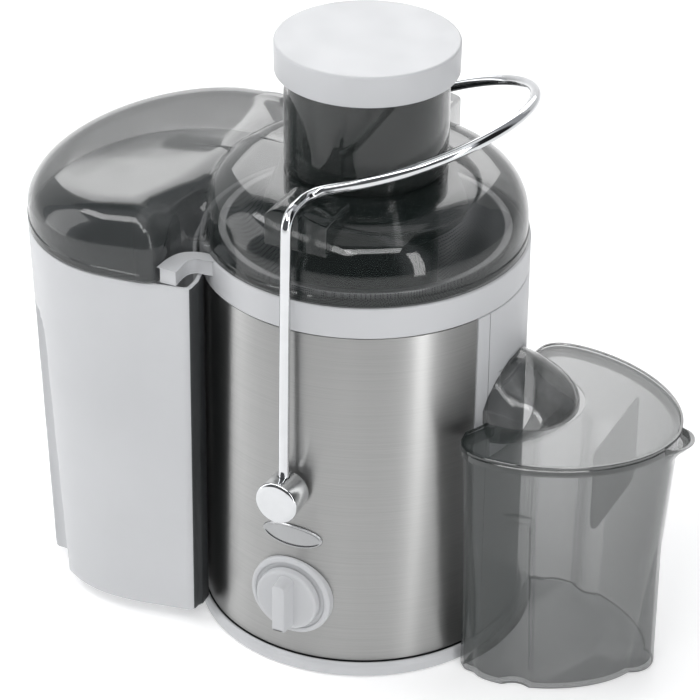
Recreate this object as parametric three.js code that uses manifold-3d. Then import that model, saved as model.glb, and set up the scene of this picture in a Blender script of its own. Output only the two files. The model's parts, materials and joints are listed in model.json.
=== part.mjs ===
// Centrifugal juicer: motor base, juice bowl, smoke lid with feed tube, pusher, locking arm,
// pulp container and juice jug. Millimetres, +Z up, the motor axis is the Z axis at x = y = 0.
// The control knob faces -Y, the spout and the juice jug are on +X, the pulp container on -X.
// z = 0 is the surface that the feet, and the jug, stand on.

import * as THREE from 'three';
import { mergeVertices } from 'three/addons/utils/BufferGeometryUtils.js';
import Module from 'manifold-3d';

const wasm = await Module();
wasm.setup();

// ---------------------------------------------------------------- driving dimensions

const GAP = 0.3; // between pieces that touch
const RUN = 0.6; // between a moving piece and what it runs in
const RAD = Math.PI / 180;
const ROUND = 36; // sides of a large circle
const MID_ROUND = 20; // sides of a middling circle
const SMALL_ROUND = 12; // sides of a small circle

// motor base
const BODY_R = 90.1;
const BODY_WALL = 3.5;
const FOOT_HEIGHT = 1;
const BASE_RING_R = 92.6;
const BASE_RING_TOP = 9.4;
const BASE_LEDGE_R = 85;
const COLLAR_BOTTOM = 215.8;
const COLLAR_TOP = 233.5;
const DECK_TOP = 160;
const DECK_THICK = 3;
const PANEL_R = 89.3;
const PANEL_THICK = 0.8;
const PANEL_HALF_ANGLE = 67 * RAD;

// lid and feed tube
const LID_R = 89;
const LID_WALL = 2.4;
const LID_WALL_TOP = 245;
const LID_FILLET = 30;
const LID_END_WALL_TOP = 231;
const LID_END_FILLET = 20;
const CHUTE_BORE = 75;
const CHUTE_WALL = 2.5;
const CHUTE_BOTTOM = 194;
const COLLAR_STEP = 4.4; // how far the collar stands out from the feed tube
const COLLAR_TUBE_R = CHUTE_BORE / 2 + CHUTE_WALL + COLLAR_STEP;
const COLLAR_TUBE_TOP = 341;
const LUG_HALF = 18;
const LUG_HEIGHT = 8;

// pusher
const CAP_OVERHANG = 5.4;
const CAP_R = COLLAR_TUBE_R + CAP_OVERHANG;
const CAP_BOTTOM = 329.7;
const CAP_TOP = 347;
const CAP_WALL = 2.4;

// pulp container
const END_REACH = 195; // how far the container and the jug reach from the motor axis
const BIN_TOP = 223.5;
const BIN_BOTTOM = 10;
const BIN_WALL = 2.2;
const BIN_HALF_WIDTH = 95.4;
const BIN_END_CENTRE = 115;
const BIN_DRAFT = 8;
const BIN_CLEARANCE = 1.5;
const GROOVE_R = 16.2;
const GROOVE_TOP = 162;

// juice jug
const JUG_RIM = 150;
const JUG_WALL = 2.2;
const JUG_HALF_WIDTH = 66.5;
const JUG_DRAFT = 11.2;
const JUG_INNER_R = 94.5;
const JUG_LIP_R = 13;
const JUG_LIP_REACH = 9; // how far the pouring lip stands out from the jug's nose
const JUG_NOSE = END_REACH - JUG_LIP_REACH;
const JUG_LIP_DEPTH = 20;
const JUG_GRIP_R = 11;
const JUG_GRIP_TOP = 114;
const JUG_LID_THICK = 1.8;

// spout
const SPOUT_NOSE = 127;
const SPOUT_HALF_WIDTH = 30;
const SPOUT_EDGE = 149;
const SPOUT_TOP = 178;
const SPOUT_DROP = 15;
const SPOUT_WALL = 2.2;

// locking arm
const PIVOT_Z = 118.6;
const ARM_WIRE_R = 3;
const ARM_LEG_Y = 99;
const ARM_KNOB_R = 12.3;
const ARM_KNOB_LENGTH = 17.5;
const ARM_LOOP_R = 67;
const ARM_LOOP_CENTRE = 24;
const ARM_LOOP_RISE = 0.41;
const PIVOT_PIN_R = 4;

// control knob
const KNOB_Z = 48.6;
const KNOB_R = 18.5;
const KNOB_PLATE_R = 24;
const KNOB_GRIP_WIDTH = 9;
const KNOB_GRIP_LENGTH = 31;
const KNOB_GRIP_REACH = 10;
const KNOB_STEM_R = 4;

// badge
const BADGE_Z = 87;
const BADGE_HALF_WIDTH = 18;
const BADGE_HALF_HEIGHT = 7;

// filter basket and grater
const BASKET_RIM_R = 80;
const BASKET_RIM_TOP = 237.5;
const BASKET_FLOOR = 183;
const BASKET_FLOOR_R = 52;
const GRATER_R = 50;

// motor
const SHAFT_R = 4;
const ARMATURE_R = 18.3;
const AIR_GAP = 0.8;
const STATOR_HALF_X = 30;
const STATOR_HALF_Y = 26;
const STATOR_LOW = 68;
const STATOR_HIGH = 102;

// ---------------------------------------------------------------- derived sizes

const CHUTE_BORE_R = CHUTE_BORE / 2;
const CHUTE_OUTER_R = CHUTE_BORE_R + CHUTE_WALL;
const LID_TOP = LID_WALL_TOP + LID_FILLET;
const LUG_TOP = LID_TOP + LUG_HEIGHT - GAP;
const CAP_INSIDE = CAP_TOP - CAP_WALL;
const BODY_INNER_R = BODY_R - BODY_WALL;
const BOWL_R = BODY_INNER_R - RUN;
const BOWL_WALL = 2.8;
const BIN_INNER_R = BODY_R + BIN_CLEARANCE;
const LEG_CLEAR_R = ARM_WIRE_R + GAP;
const ARM_TOP = LUG_TOP + ARM_WIRE_R + 2 * GAP;

// ---------------------------------------------------------------- materials

function finish(color, roughness, metalness = 0) {
  return new THREE.MeshStandardMaterial({ color, roughness, metalness });
}

const greyPlastic = finish(0xd2d4d6, 0.45);
const darkPlastic = finish(0x3a3d3f, 0.55);
const smoke = finish(0x4c5452, 0.12);
const clearSmoke = finish(0x7d8785, 0.12);
const brushedSteel = finish(0xb9babb, 0.32, 1);
const chrome = finish(0xe6e8ea, 0.07, 1);
const steel = finish(0xa9acae, 0.35, 1);
const copper = finish(0xb06a3a, 0.35, 1);
const laminations = finish(0x6f7275, 0.5, 1);
const bronze = finish(0x9c7a48, 0.4, 1);
const rubber = finish(0x1c1d1e, 0.85);

// ---------------------------------------------------------------- solids

function toSolid(geometry) {
  const bare = geometry.clone();
  bare.deleteAttribute('normal');
  bare.deleteAttribute('uv');
  const merged = mergeVertices(bare, 1e-4);
  const vertProperties = new Float32Array(merged.attributes.position.array);
  const triVerts = new Uint32Array(merged.index.array);
  return new wasm.Manifold(new wasm.Mesh({ numProp: 3, vertProperties, triVerts }));
}

function toGeometry(solid) {
  const mesh = solid.getMesh();
  const geometry = new THREE.BufferGeometry();
  geometry.setAttribute('position', new THREE.BufferAttribute(mesh.vertProperties, 3));
  geometry.setIndex(new THREE.BufferAttribute(mesh.triVerts, 1));
  geometry.computeVertexNormals();
  return geometry;
}

function union(solids) {
  return solids.reduce((whole, solid) => whole.add(solid));
}

function cut(solid, cutters) {
  return cutters.reduce((whole, cutter) => whole.subtract(cutter), solid);
}

// a vertical cylinder or cone
function post(radius, low, high, x = 0, y = 0, sides = SMALL_ROUND, topRadius = radius) {
  const geometry = new THREE.CylinderGeometry(topRadius, radius, high - low, sides);
  geometry.rotateX(Math.PI / 2);
  geometry.translate(x, y, (low + high) / 2);
  return toSolid(geometry);
}

// a cylinder along Y, from y = near to y = far
function rod(radius, near, far, x, z, sides = SMALL_ROUND) {
  const geometry = new THREE.CylinderGeometry(radius, radius, Math.abs(far - near), sides);
  geometry.translate(x, (near + far) / 2, z);
  return toSolid(geometry);
}

function block(lowX, highX, lowY, highY, lowZ, highZ) {
  const geometry = new THREE.BoxGeometry(highX - lowX, highY - lowY, highZ - lowZ);
  geometry.translate((lowX + highX) / 2, (lowY + highY) / 2, (lowZ + highZ) / 2);
  return toSolid(geometry);
}

// a closed outline of [radius, height] pairs, counter-clockwise, turned about Z
function revolve(outline, sides = ROUND) {
  const points = [...outline, outline[0]].map(([radius, height]) => new THREE.Vector2(radius, height));
  const geometry = new THREE.LatheGeometry(points, sides);
  geometry.rotateX(Math.PI / 2);
  return toSolid(geometry);
}

function tube(innerRadius, outerRadius, low, high, sides = ROUND) {
  const outline = [
    [innerRadius, low],
    [outerRadius, low],
    [outerRadius, high],
    [innerRadius, high],
  ];
  return revolve(outline, sides);
}

function extrude(shape, low, high, curveSegments = 12) {
  const settings = { depth: high - low, bevelEnabled: false, curveSegments };
  const geometry = new THREE.ExtrudeGeometry(shape, settings);
  geometry.translate(0, 0, low);
  return toSolid(geometry);
}

// an outline in x and z, extruded along Y
function extrudeAlongY(shape, low, high, curveSegments = 12) {
  const settings = { depth: high - low, bevelEnabled: false, curveSegments };
  const geometry = new THREE.ExtrudeGeometry(shape, settings);
  geometry.rotateX(Math.PI / 2);
  geometry.translate(0, high, 0);
  return toSolid(geometry);
}

function polygon(pairs) {
  return new THREE.Shape(pairs.map(([x, y]) => new THREE.Vector2(x, y)));
}

// the centre of a loop's area, at its highest level
function loopCentre(loop) {
  let area = 0;
  let x = 0;
  let y = 0;
  loop.forEach((point, i) => {
    const next = loop[(i + 1) % loop.length];
    const part = point.x * next.y - next.x * point.y;
    area += part;
    x += part * (point.x + next.x);
    y += part * (point.y + next.y);
  });
  const z = Math.max(...loop.map((point) => point.z));
  return new THREE.Vector3(x / (3 * area), y / (3 * area), z);
}

// a solid through closed loops of the same number of points, lowest first,
// each counter-clockwise seen from above
function loft(loops) {
  const count = loops[0].length;
  const positions = loops.flat().flatMap((point) => [point.x, point.y, point.z]);
  const index = [];
  for (let level = 0; level + 1 < loops.length; level += 1) {
    for (let i = 0; i < count; i += 1) {
      const next = (i + 1) % count;
      const a = level * count + i;
      const b = level * count + next;
      index.push(a, b, b + count);
      index.push(a, b + count, a + count);
    }
  }
  const lowest = loops.length * count;
  const top = lowest - count;
  for (const loop of [loops[0], loops[loops.length - 1]]) {
    const centre = loopCentre(loop);
    positions.push(centre.x, centre.y, centre.z);
  }
  for (let i = 0; i < count; i += 1) {
    const next = (i + 1) % count;
    index.push(next, i, lowest);
    index.push(top + i, top + next, lowest + 1);
  }
  const geometry = new THREE.BufferGeometry();
  geometry.setAttribute('position', new THREE.Float32BufferAttribute(positions, 3));
  geometry.setIndex(index);
  return toSolid(geometry);
}

// ---------------------------------------------------------------- outlines

// the points of a path with no two in one place
function pathPoints(path, divisions) {
  const points = path.getPoints(divisions);
  return points.filter((point, i) => i === 0 || point.distanceTo(points[i - 1]) > 1e-3);
}

// a half outline on the -Y side, from its +X end to its -X end, made whole and counter-clockwise
function mirroredLoop(half) {
  const back = half.map((point) => new THREE.Vector2(point.x, -point.y));
  const front = half.slice(1, -1).reverse();
  return [...back, ...front];
}

function insetLoop(loop, distance) {
  return loop.map((point, i) => {
    const before = loop.at(i - 1);
    const after = loop[(i + 1) % loop.length];
    const arriving = point.clone().sub(before).normalize();
    const leaving = after.clone().sub(point).normalize();
    const inward = new THREE.Vector2(-arriving.y - leaving.y, arriving.x + leaving.x);
    const share = distance / (1 + Math.max(arriving.dot(leaving), 0));
    return point.clone().addScaledVector(inward, share);
  });
}

// moves a loop's points towards a centre, except where they lie on a circle about the motor axis
function draftLoop(loop, centreX, amount, fixedRadius) {
  const centre = new THREE.Vector2(centreX, 0);
  return loop.map((point) => {
    if (Math.abs(point.length() - fixedRadius) < GAP) {
      return point.clone();
    }
    const inward = centre.clone().sub(point).normalize();
    return point.clone().addScaledVector(inward, amount);
  });
}

function atHeight(loop, z) {
  return loop.map((point) => new THREE.Vector3(point.x, point.y, z));
}

// ---------------------------------------------------------------- motor base

function pivotHoles(radius) {
  return [rod(radius, -BASE_RING_R, BASE_RING_R, 0, PIVOT_Z)];
}

function wedge(radius, halfAngle, low, high) {
  const shape = new THREE.Shape();
  const start = -Math.PI / 2 - halfAngle;
  shape.moveTo(0, 0);
  shape.lineTo(radius * Math.cos(start), radius * Math.sin(start));
  shape.absarc(0, 0, radius, start, -Math.PI / 2 + halfAngle, false);
  shape.closePath();
  return extrude(shape, low, high, ROUND / 2);
}

const SCREW_ANGLES = [90, 210, 330];
const SCREW_CIRCLE_R = BODY_INNER_R - 6.4;
const SCREW_BOSS_R = 7.2;
const SCREW_R = 2;
const SWITCH_HOLE_R = KNOB_STEM_R + 2;
const BUSH_R = PIVOT_PIN_R + 2.4;
const GROMMET_Z = 24;
const GROMMET_R = 6.5;

function screwPlaces() {
  return SCREW_ANGLES.map((angle) => [
    SCREW_CIRCLE_R * Math.cos(angle * RAD + Math.PI / 6),
    SCREW_CIRCLE_R * Math.sin(angle * RAD + Math.PI / 6),
  ]);
}

function mainHousing() {
  const low = BASE_RING_TOP + GAP;
  const high = COLLAR_BOTTOM - GAP;
  const deckHoleR = 20;
  const shell = revolve([
    [BODY_INNER_R, low],
    [BODY_R, low],
    [BODY_R, high],
    [BODY_INNER_R, high],
    [BODY_INNER_R, DECK_TOP],
    [deckHoleR, DECK_TOP],
    [deckHoleR, DECK_TOP - DECK_THICK],
    [BODY_INNER_R, DECK_TOP - DECK_THICK],
  ]);
  const bosses = screwPlaces().map(([x, y]) => post(SCREW_BOSS_R, low, low + 30, x, y));
  const pocketR = PANEL_R - PANEL_THICK - GAP;
  const pocket = wedge(BASE_RING_R, PANEL_HALF_ANGLE + 0.3 * RAD, low - 1, high + 1);
  const pocketRing = pocket.subtract(post(pocketR, low - 2, high + 2, 0, 0, ROUND));
  const outlet = block(0, BASE_RING_R, -OUTLET_HALF - RUN, OUTLET_HALF + RUN, OUTLET_LOW - RUN, OUTLET_HIGH + RUN);
  return cut(union([shell, ...bosses]), [
    pocketRing,
    outlet,
    ...pivotHoles(BUSH_R + GAP),
    ...screwPlaces().map(([x, y]) => post(SCREW_R + GAP, low - 1, low + 24, x, y)),
    rod(SWITCH_HOLE_R, -BASE_RING_R, -BODY_INNER_R + 10, 0, KNOB_Z),
    rod(GROMMET_R + GAP, BODY_INNER_R - 10, BASE_RING_R, 0, GROMMET_Z),
  ]);
}

const OUTLET_HALF = 17;
const OUTLET_LOW = 164.5;
const OUTLET_HIGH = 175;

function steelPanel() {
  const low = BASE_RING_TOP + 2 * GAP;
  const high = COLLAR_BOTTOM - 2 * GAP;
  const outer = wedge(PANEL_R, PANEL_HALF_ANGLE, low, high);
  return cut(outer, [
    post(PANEL_R - PANEL_THICK, low - 1, high + 1, 0, 0, ROUND),
    rod(BUSH_R + GAP, -BASE_RING_R, 0, 0, PIVOT_Z),
    rod(SWITCH_HOLE_R, -BASE_RING_R, 0, 0, KNOB_Z),
  ]);
}

function baseRing() {
  const flangeTop = FOOT_HEIGHT + 2.5;
  return revolve([
    [BASE_LEDGE_R, FOOT_HEIGHT],
    [BASE_RING_R - 0.8, FOOT_HEIGHT],
    [BASE_RING_R, FOOT_HEIGHT + 0.8],
    [BASE_RING_R, BASE_RING_TOP - 1],
    [BASE_RING_R - 1, BASE_RING_TOP],
    [BODY_R - 0.4, BASE_RING_TOP],
    [BODY_R - 0.4, flangeTop],
    [BASE_LEDGE_R, flangeTop],
  ]);
}

const PLATE_LOW = FOOT_HEIGHT + 2.5 + GAP;
const PLATE_THICK = 2.5;
const PLATE_TOP = PLATE_LOW + PLATE_THICK;
const FOOT_R = 8;
const FOOT_CIRCLE_R = 62;
const FOOT_ANGLES = [45, 135, 225, 315];
const FOOT_STEM_R = 4;

function footPlaces() {
  return FOOT_ANGLES.map((angle) => [
    FOOT_CIRCLE_R * Math.cos(angle * RAD),
    FOOT_CIRCLE_R * Math.sin(angle * RAD),
  ]);
}

function bottomPlate() {
  const plate = post(BODY_R - 0.4 - GAP, PLATE_LOW, PLATE_TOP, 0, 0, ROUND);
  const slots = [];
  for (let row = -3; row <= 3; row += 1) {
    slots.push(block(row * 9 - 2, row * 9 + 2, -24, 24, PLATE_LOW - 1, PLATE_TOP + 1));
  }
  const footHoles = footPlaces().map(([x, y]) => post(FOOT_STEM_R + GAP, PLATE_LOW - 1, PLATE_TOP + 1, x, y));
  const screwHoles = screwPlaces().map(([x, y]) => post(SCREW_R + GAP, PLATE_LOW - 1, PLATE_TOP + 1, x, y));
  return cut(plate, [...slots, ...footHoles, ...screwHoles]);
}

function foot([x, y]) {
  const pad = post(FOOT_R, 0, PLATE_LOW - GAP, x, y, SMALL_ROUND, FOOT_R - 0.6);
  const stem = post(FOOT_STEM_R, PLATE_LOW - 1, PLATE_TOP, x, y);
  return pad.add(stem);
}

function bottomScrew([x, y]) {
  const head = post(3.6, PLATE_LOW - GAP - 2, PLATE_LOW - GAP, x, y, 16);
  const stem = post(SCREW_R, PLATE_LOW - 1, BASE_RING_TOP + 20, x, y, 16);
  return head.add(stem);
}

// plan of the wing's side next to the lid and of its side over the container's corner
const WING_OUTER = [[-58.8, -64], [-68.4, -65.3], [-75.5, -69.2], [-78.6, -77.6], [-79, -88]];
const WING_INNER = [[-56, -69.2], [-62, -70], [-66.8, -70.4], [-69.8, -74], [-70.4, -80], [-69.6, -88]];

function wingEdge(guide) {
  const curve = new THREE.SplineCurve(guide.map(([x, y]) => new THREE.Vector2(x, y)));
  return curve.getPoints(20);
}

// the bowl's collar runs out at the waist and hooks round the corner of the pulp container
function collarWing(side) {
  const shape = new THREE.Shape([...wingEdge(WING_OUTER), ...wingEdge(WING_INNER).reverse()]);
  const wing = extrude(shape, BIN_TOP + GAP + 0.4, COLLAR_TOP);
  return side < 0 ? wing : wing.mirror([0, 1, 0]);
}

const HUB_R = 22;
const HUB_TOP = 181;

function juiceBowl() {
  const collarInnerR = BODY_R - 3.6;
  const bowlInnerR = BOWL_R - BOWL_WALL;
  const floorLow = DECK_TOP + 4;
  const bowl = revolve([
    [HUB_R, floorLow + 4],
    [BOWL_R, floorLow],
    [BOWL_R, COLLAR_BOTTOM],
    [BODY_R, COLLAR_BOTTOM],
    [BODY_R, COLLAR_TOP - 1],
    [BODY_R - 1, COLLAR_TOP],
    [collarInnerR, COLLAR_TOP],
    [bowlInnerR, COLLAR_TOP - 6],
    [bowlInnerR, floorLow + 3],
    [HUB_R + 2.5, floorLow + 6],
    [HUB_R + 2.5, HUB_TOP],
    [HUB_R, HUB_TOP],
  ]);
  const mouth = post(BODY_R - GAP, OUTLET_LOW, OUTLET_HIGH, 0, 0, ROUND);
  const trough = block(BOWL_R - 6, BODY_R, -OUTLET_HALF, OUTLET_HALF, OUTLET_LOW, OUTLET_HIGH).intersect(mouth);
  const troughBore = block(
    BOWL_R - 8,
    BODY_R + 1,
    -OUTLET_HALF + 2,
    OUTLET_HALF - 2,
    OUTLET_LOW + 2.2,
    OUTLET_HIGH - 1.6,
  );
  return union([bowl, collarWing(-1), collarWing(1)])
    .subtract(post(bowlInnerR, floorLow + 5, COLLAR_TOP - 6, 0, 0, ROUND).intersect(trough))
    .add(trough)
    .subtract(troughBore);
}

function spoutLoop(nose, halfWidth, inset) {
  const reach = nose - inset;
  const width = halfWidth - inset;
  const noseLength = Math.min(width * 0.95, reach - 86);
  const half = new THREE.Path();
  half.absellipse(reach - noseLength, 0, noseLength, width, 0, -Math.PI / 2, true);
  half.lineTo(70, -width);
  const points = pathPoints(half, 6);
  const back = points.map((point) => new THREE.Vector2(point.x, -point.y));
  return [...back, ...points.slice(1).reverse()];
}

function spoutBody(inset, extra) {
  const levels = [
    [SPOUT_EDGE - SPOUT_DROP - extra, SPOUT_NOSE - 20, SPOUT_HALF_WIDTH - 6],
    [SPOUT_EDGE - 1, SPOUT_NOSE - 2, SPOUT_HALF_WIDTH - 0.6],
    [SPOUT_EDGE, SPOUT_NOSE, SPOUT_HALF_WIDTH],
    [SPOUT_EDGE + 4, SPOUT_NOSE, SPOUT_HALF_WIDTH],
    [SPOUT_EDGE + 11, SPOUT_NOSE - 5, SPOUT_HALF_WIDTH - 1.5],
    [SPOUT_EDGE + 19, SPOUT_NOSE - 16, SPOUT_HALF_WIDTH - 7],
    [SPOUT_EDGE + 25, SPOUT_NOSE - 26, SPOUT_HALF_WIDTH - 14],
    [SPOUT_TOP - inset, SPOUT_NOSE - 33, SPOUT_HALF_WIDTH - 22],
  ];
  return loft(levels.map(([z, nose, half]) => atHeight(spoutLoop(nose, half, inset), z)));
}

function spout() {
  const shell = spoutBody(0, 0).subtract(spoutBody(SPOUT_WALL, 1));
  return shell.subtract(post(BODY_R + GAP, 0, COLLAR_TOP, 0, 0, ROUND));
}

function pivotBush(side) {
  const outer = rod(BUSH_R, side * (BODY_INNER_R - 4), side * (BODY_R + 0.8), 0, PIVOT_Z);
  return outer.subtract(rod(PIVOT_PIN_R + GAP, side * (BODY_INNER_R - 6), side * (BODY_R + 2), 0, PIVOT_Z));
}

function pivotPin(side) {
  const inner = BODY_INNER_R - 7;
  const shank = rod(PIVOT_PIN_R, side * inner, side * (ARM_LEG_Y + 4.5), 0, PIVOT_Z);
  const head = rod(PIVOT_PIN_R + 3, side * (inner - 2.5), side * (inner + 0.1), 0, PIVOT_Z);
  return shank.add(head);
}

// ---------------------------------------------------------------- lid

const WAIST_ANGLE = 134 * RAD;
const SHOULDER_X = 80;

function lidHalf() {
  const path = new THREE.Path();
  path.absarc(0, 0, LID_R, 0, -WAIST_ANGLE, true);
  path.quadraticCurveTo(-SHOULDER_X, -63.2, -SHOULDER_X, -74);
  path.lineTo(-SHOULDER_X, -84);
  path.quadraticCurveTo(-SHOULDER_X, -93.4, -SHOULDER_X - 11, -94.4);
  path.lineTo(-BIN_END_CENTRE, -BIN_HALF_WIDTH - 0.4);
  const a = END_REACH - BIN_END_CENTRE;
  path.absellipse(-BIN_END_CENTRE, 0, a, BIN_HALF_WIDTH + 0.4, -Math.PI / 2, -Math.PI, true);
  return pathPoints(path, 6);
}

// 0 at the container's end, 1 from the motor axis on
function towardsRound(x) {
  return THREE.MathUtils.clamp((x + END_REACH) / END_REACH, 0, 1);
}

function nearestSpine(point) {
  return new THREE.Vector2(THREE.MathUtils.clamp(point.x, -BIN_END_CENTRE, 0), 0);
}

function lidLoft(inset, lowRound, lowBin) {
  const base = insetLoop(mirroredLoop(lidHalf()), inset + 1e-6);
  const wallTop = (x) => THREE.MathUtils.lerp(LID_END_WALL_TOP, LID_WALL_TOP, towardsRound(x));
  const fillet = (x) => THREE.MathUtils.lerp(LID_END_FILLET, LID_FILLET, towardsRound(x)) - inset;
  const ring = (share, turn) =>
    base.map((point) => {
      const spine = nearestSpine(point);
      const away = point.clone().sub(spine);
      const length = away.length();
      const drawnIn = fillet(point.x) * (1 - Math.cos(turn));
      const place = spine.clone().addScaledVector(away, ((length - drawnIn) * share) / length);
      const z = wallTop(place.x) + fillet(place.x) * Math.sin(turn);
      return new THREE.Vector3(place.x, place.y, z);
    });
  const low = base.map((point) => {
    const z = point.x < -SHOULDER_X + 12 ? lowBin : lowRound;
    return new THREE.Vector3(point.x, point.y, z);
  });
  const loops = [low];
  for (let step = 0; step <= 3; step += 1) {
    loops.push(ring(1, (step / 3) * (Math.PI / 2)));
  }
  loops.push(ring(0.3, Math.PI / 2));
  return loft(loops);
}

function feedTube() {
  return revolve([
    [CHUTE_BORE_R, CHUTE_BOTTOM],
    [CHUTE_OUTER_R, CHUTE_BOTTOM],
    [CHUTE_OUTER_R, LID_TOP - 2],
    [COLLAR_TUBE_R - 2.5, LID_TOP - 0.6],
    [COLLAR_TUBE_R, LID_TOP + 2],
    [COLLAR_TUBE_R, COLLAR_TUBE_TOP],
    [COLLAR_TUBE_R - CHUTE_WALL, COLLAR_TUBE_TOP],
    [COLLAR_TUBE_R - CHUTE_WALL, LID_TOP + CHUTE_WALL],
    [CHUTE_BORE_R, LID_TOP + CHUTE_WALL],
  ]);
}

function innerSkirt() {
  const top = LID_TOP - LID_WALL + 0.6;
  return revolve([
    [CHUTE_OUTER_R + 4, top],
    [CHUTE_OUTER_R + 14, LID_TOP - 25],
    [CHUTE_OUTER_R + 16, LID_TOP - 25],
    [CHUTE_OUTER_R + 6.5, top],
  ]);
}

// a ramped lug that the arm's cross wire closes over
function lug(side) {
  const shape = polygon([
    [-LUG_HALF, LID_TOP - 14],
    [LUG_HALF, LID_TOP - 14],
    [LUG_HALF, LUG_TOP - 2.6],
    [6, LUG_TOP],
    [-LUG_HALF + 4, LUG_TOP],
    [-LUG_HALF, LUG_TOP - 4],
  ]);
  const inner = LID_R - LID_FILLET - 4;
  const outer = LID_R - 2;
  const near = Math.min(side * inner, side * outer);
  const far = Math.max(side * inner, side * outer);
  return extrudeAlongY(shape, near, far);
}

function lid() {
  const shell = lidLoft(0, COLLAR_TOP + GAP, BIN_TOP + 0.7);
  const lugs = union([lug(-1), lug(1)]);
  const cavity = lidLoft(LID_WALL, BIN_TOP - 10, BIN_TOP - 10);
  const bore = post(CHUTE_BORE_R, CHUTE_BOTTOM - 1, LID_TOP + 1, 0, 0, ROUND);
  return shell
    .add(lugs)
    .subtract(cavity)
    .add(innerSkirt())
    .add(feedTube())
    .subtract(bore);
}

// ---------------------------------------------------------------- pusher

function pusherCap() {
  return revolve([
    [0, CAP_INSIDE],
    [CAP_R - CAP_WALL, CAP_INSIDE],
    [CAP_R - CAP_WALL, CAP_BOTTOM],
    [CAP_R - 0.8, CAP_BOTTOM],
    [CAP_R, CAP_BOTTOM + 1.5],
    [CAP_R, CAP_TOP - 2],
    [CAP_R - 0.6, CAP_TOP - 0.6],
    [CAP_R - 2, CAP_TOP],
    [0, CAP_TOP],
  ]);
}

const PUSHER_BOTTOM = CHUTE_BOTTOM + 3;

function pusherBody() {
  const lowerR = CHUTE_BORE_R - RUN;
  const upperR = COLLAR_TUBE_R - CHUTE_WALL - RUN;
  const wall = 2.2;
  const shoulder = LID_TOP + CHUTE_WALL + RUN;
  const top = CAP_INSIDE - GAP;
  return revolve([
    [0, PUSHER_BOTTOM],
    [lowerR - 2, PUSHER_BOTTOM],
    [lowerR, PUSHER_BOTTOM + 2],
    [lowerR, shoulder],
    [upperR, shoulder],
    [upperR, top],
    [upperR - wall, top],
    [upperR - wall, shoulder + wall],
    [lowerR - wall, shoulder + wall],
    [lowerR - wall, PUSHER_BOTTOM + wall],
    [0, PUSHER_BOTTOM + wall],
  ]);
}

// ---------------------------------------------------------------- locking arm

function armPath() {
  const path = new THREE.CurvePath();
  const v = (x, y, z) => new THREE.Vector3(x, y, z);
  const bend = 9;
  const foldY = ARM_LEG_Y - 3;
  const crossZ = (x) => ARM_TOP + ARM_LOOP_RISE * x;
  const cornerR = 14;
  const half = (side) => ({
    foot: v(0, side * ARM_LEG_Y, PIVOT_Z + PIVOT_PIN_R + 2 * GAP),
    legTop: v(0, side * foldY, ARM_TOP - bend),
    corner: v(0, side * foldY, ARM_TOP),
    crossStart: v(0, side * (foldY - bend), ARM_TOP),
    crossEnd: v(0, side * (ARM_LOOP_R + 8), ARM_TOP),
    loopCorner: v(0, side * ARM_LOOP_R, ARM_TOP),
    loopStart: v(cornerR, side * ARM_LOOP_R, crossZ(cornerR)),
    straightEnd: v(ARM_LOOP_CENTRE, side * ARM_LOOP_R, crossZ(ARM_LOOP_CENTRE)),
  });
  const front = half(-1);
  const back = half(1);
  path.add(new THREE.LineCurve3(front.foot, front.legTop));
  path.add(new THREE.QuadraticBezierCurve3(front.legTop, front.corner, front.crossStart));
  path.add(new THREE.LineCurve3(front.crossStart, front.crossEnd));
  path.add(new THREE.QuadraticBezierCurve3(front.crossEnd, front.loopCorner, front.loopStart));
  path.add(new THREE.LineCurve3(front.loopStart, front.straightEnd));
  const arc = [];
  for (let step = 0; step <= 24; step += 1) {
    const turn = -Math.PI / 2 + (step / 24) * Math.PI;
    const x = ARM_LOOP_CENTRE + ARM_LOOP_R * Math.cos(turn);
    arc.push(v(x, ARM_LOOP_R * Math.sin(turn), crossZ(x)));
  }
  path.add(new THREE.CatmullRomCurve3(arc));
  path.add(new THREE.LineCurve3(back.straightEnd, back.loopStart));
  path.add(new THREE.QuadraticBezierCurve3(back.loopStart, back.loopCorner, back.crossEnd));
  path.add(new THREE.LineCurve3(back.crossEnd, back.crossStart));
  path.add(new THREE.QuadraticBezierCurve3(back.crossStart, back.corner, back.legTop));
  path.add(new THREE.LineCurve3(back.legTop, back.foot));
  return path;
}

function circleShape(radius) {
  const shape = new THREE.Shape();
  shape.absarc(0, 0, radius, 0, 2 * Math.PI, false);
  return shape;
}

function lockingArm() {
  const settings = { extrudePath: armPath(), steps: 72, bevelEnabled: false, curveSegments: 4 };
  return toSolid(new THREE.ExtrudeGeometry(circleShape(ARM_WIRE_R), settings));
}

function armKnob(side) {
  const inner = BODY_R + 2;
  const outer = inner + ARM_KNOB_LENGTH;
  const body = rod(ARM_KNOB_R, side * inner, side * outer, 0, PIVOT_Z, MID_ROUND);
  return cut(body, [
    rod(PIVOT_PIN_R + GAP, side * (inner - 1), side * (ARM_LEG_Y + 4.5 + GAP), 0, PIVOT_Z),
    post(LEG_CLEAR_R, PIVOT_Z, PIVOT_Z + 20, 0, side * ARM_LEG_Y),
  ]);
}

// ---------------------------------------------------------------- control knob, plate and badge

const KNOB_PLATE_FRONT = PANEL_R + 2.6;

function switchPlate() {
  const disc = rod(KNOB_PLATE_R, -BODY_R + 12, -KNOB_PLATE_FRONT, 0, KNOB_Z, MID_ROUND);
  return cut(disc, [
    post(PANEL_R + 3 * GAP, 0, COLLAR_BOTTOM, 0, 0, ROUND),
    rod(KNOB_STEM_R + RUN, -BODY_R + 20, -KNOB_PLATE_FRONT - 2, 0, KNOB_Z),
  ]);
}

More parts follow.
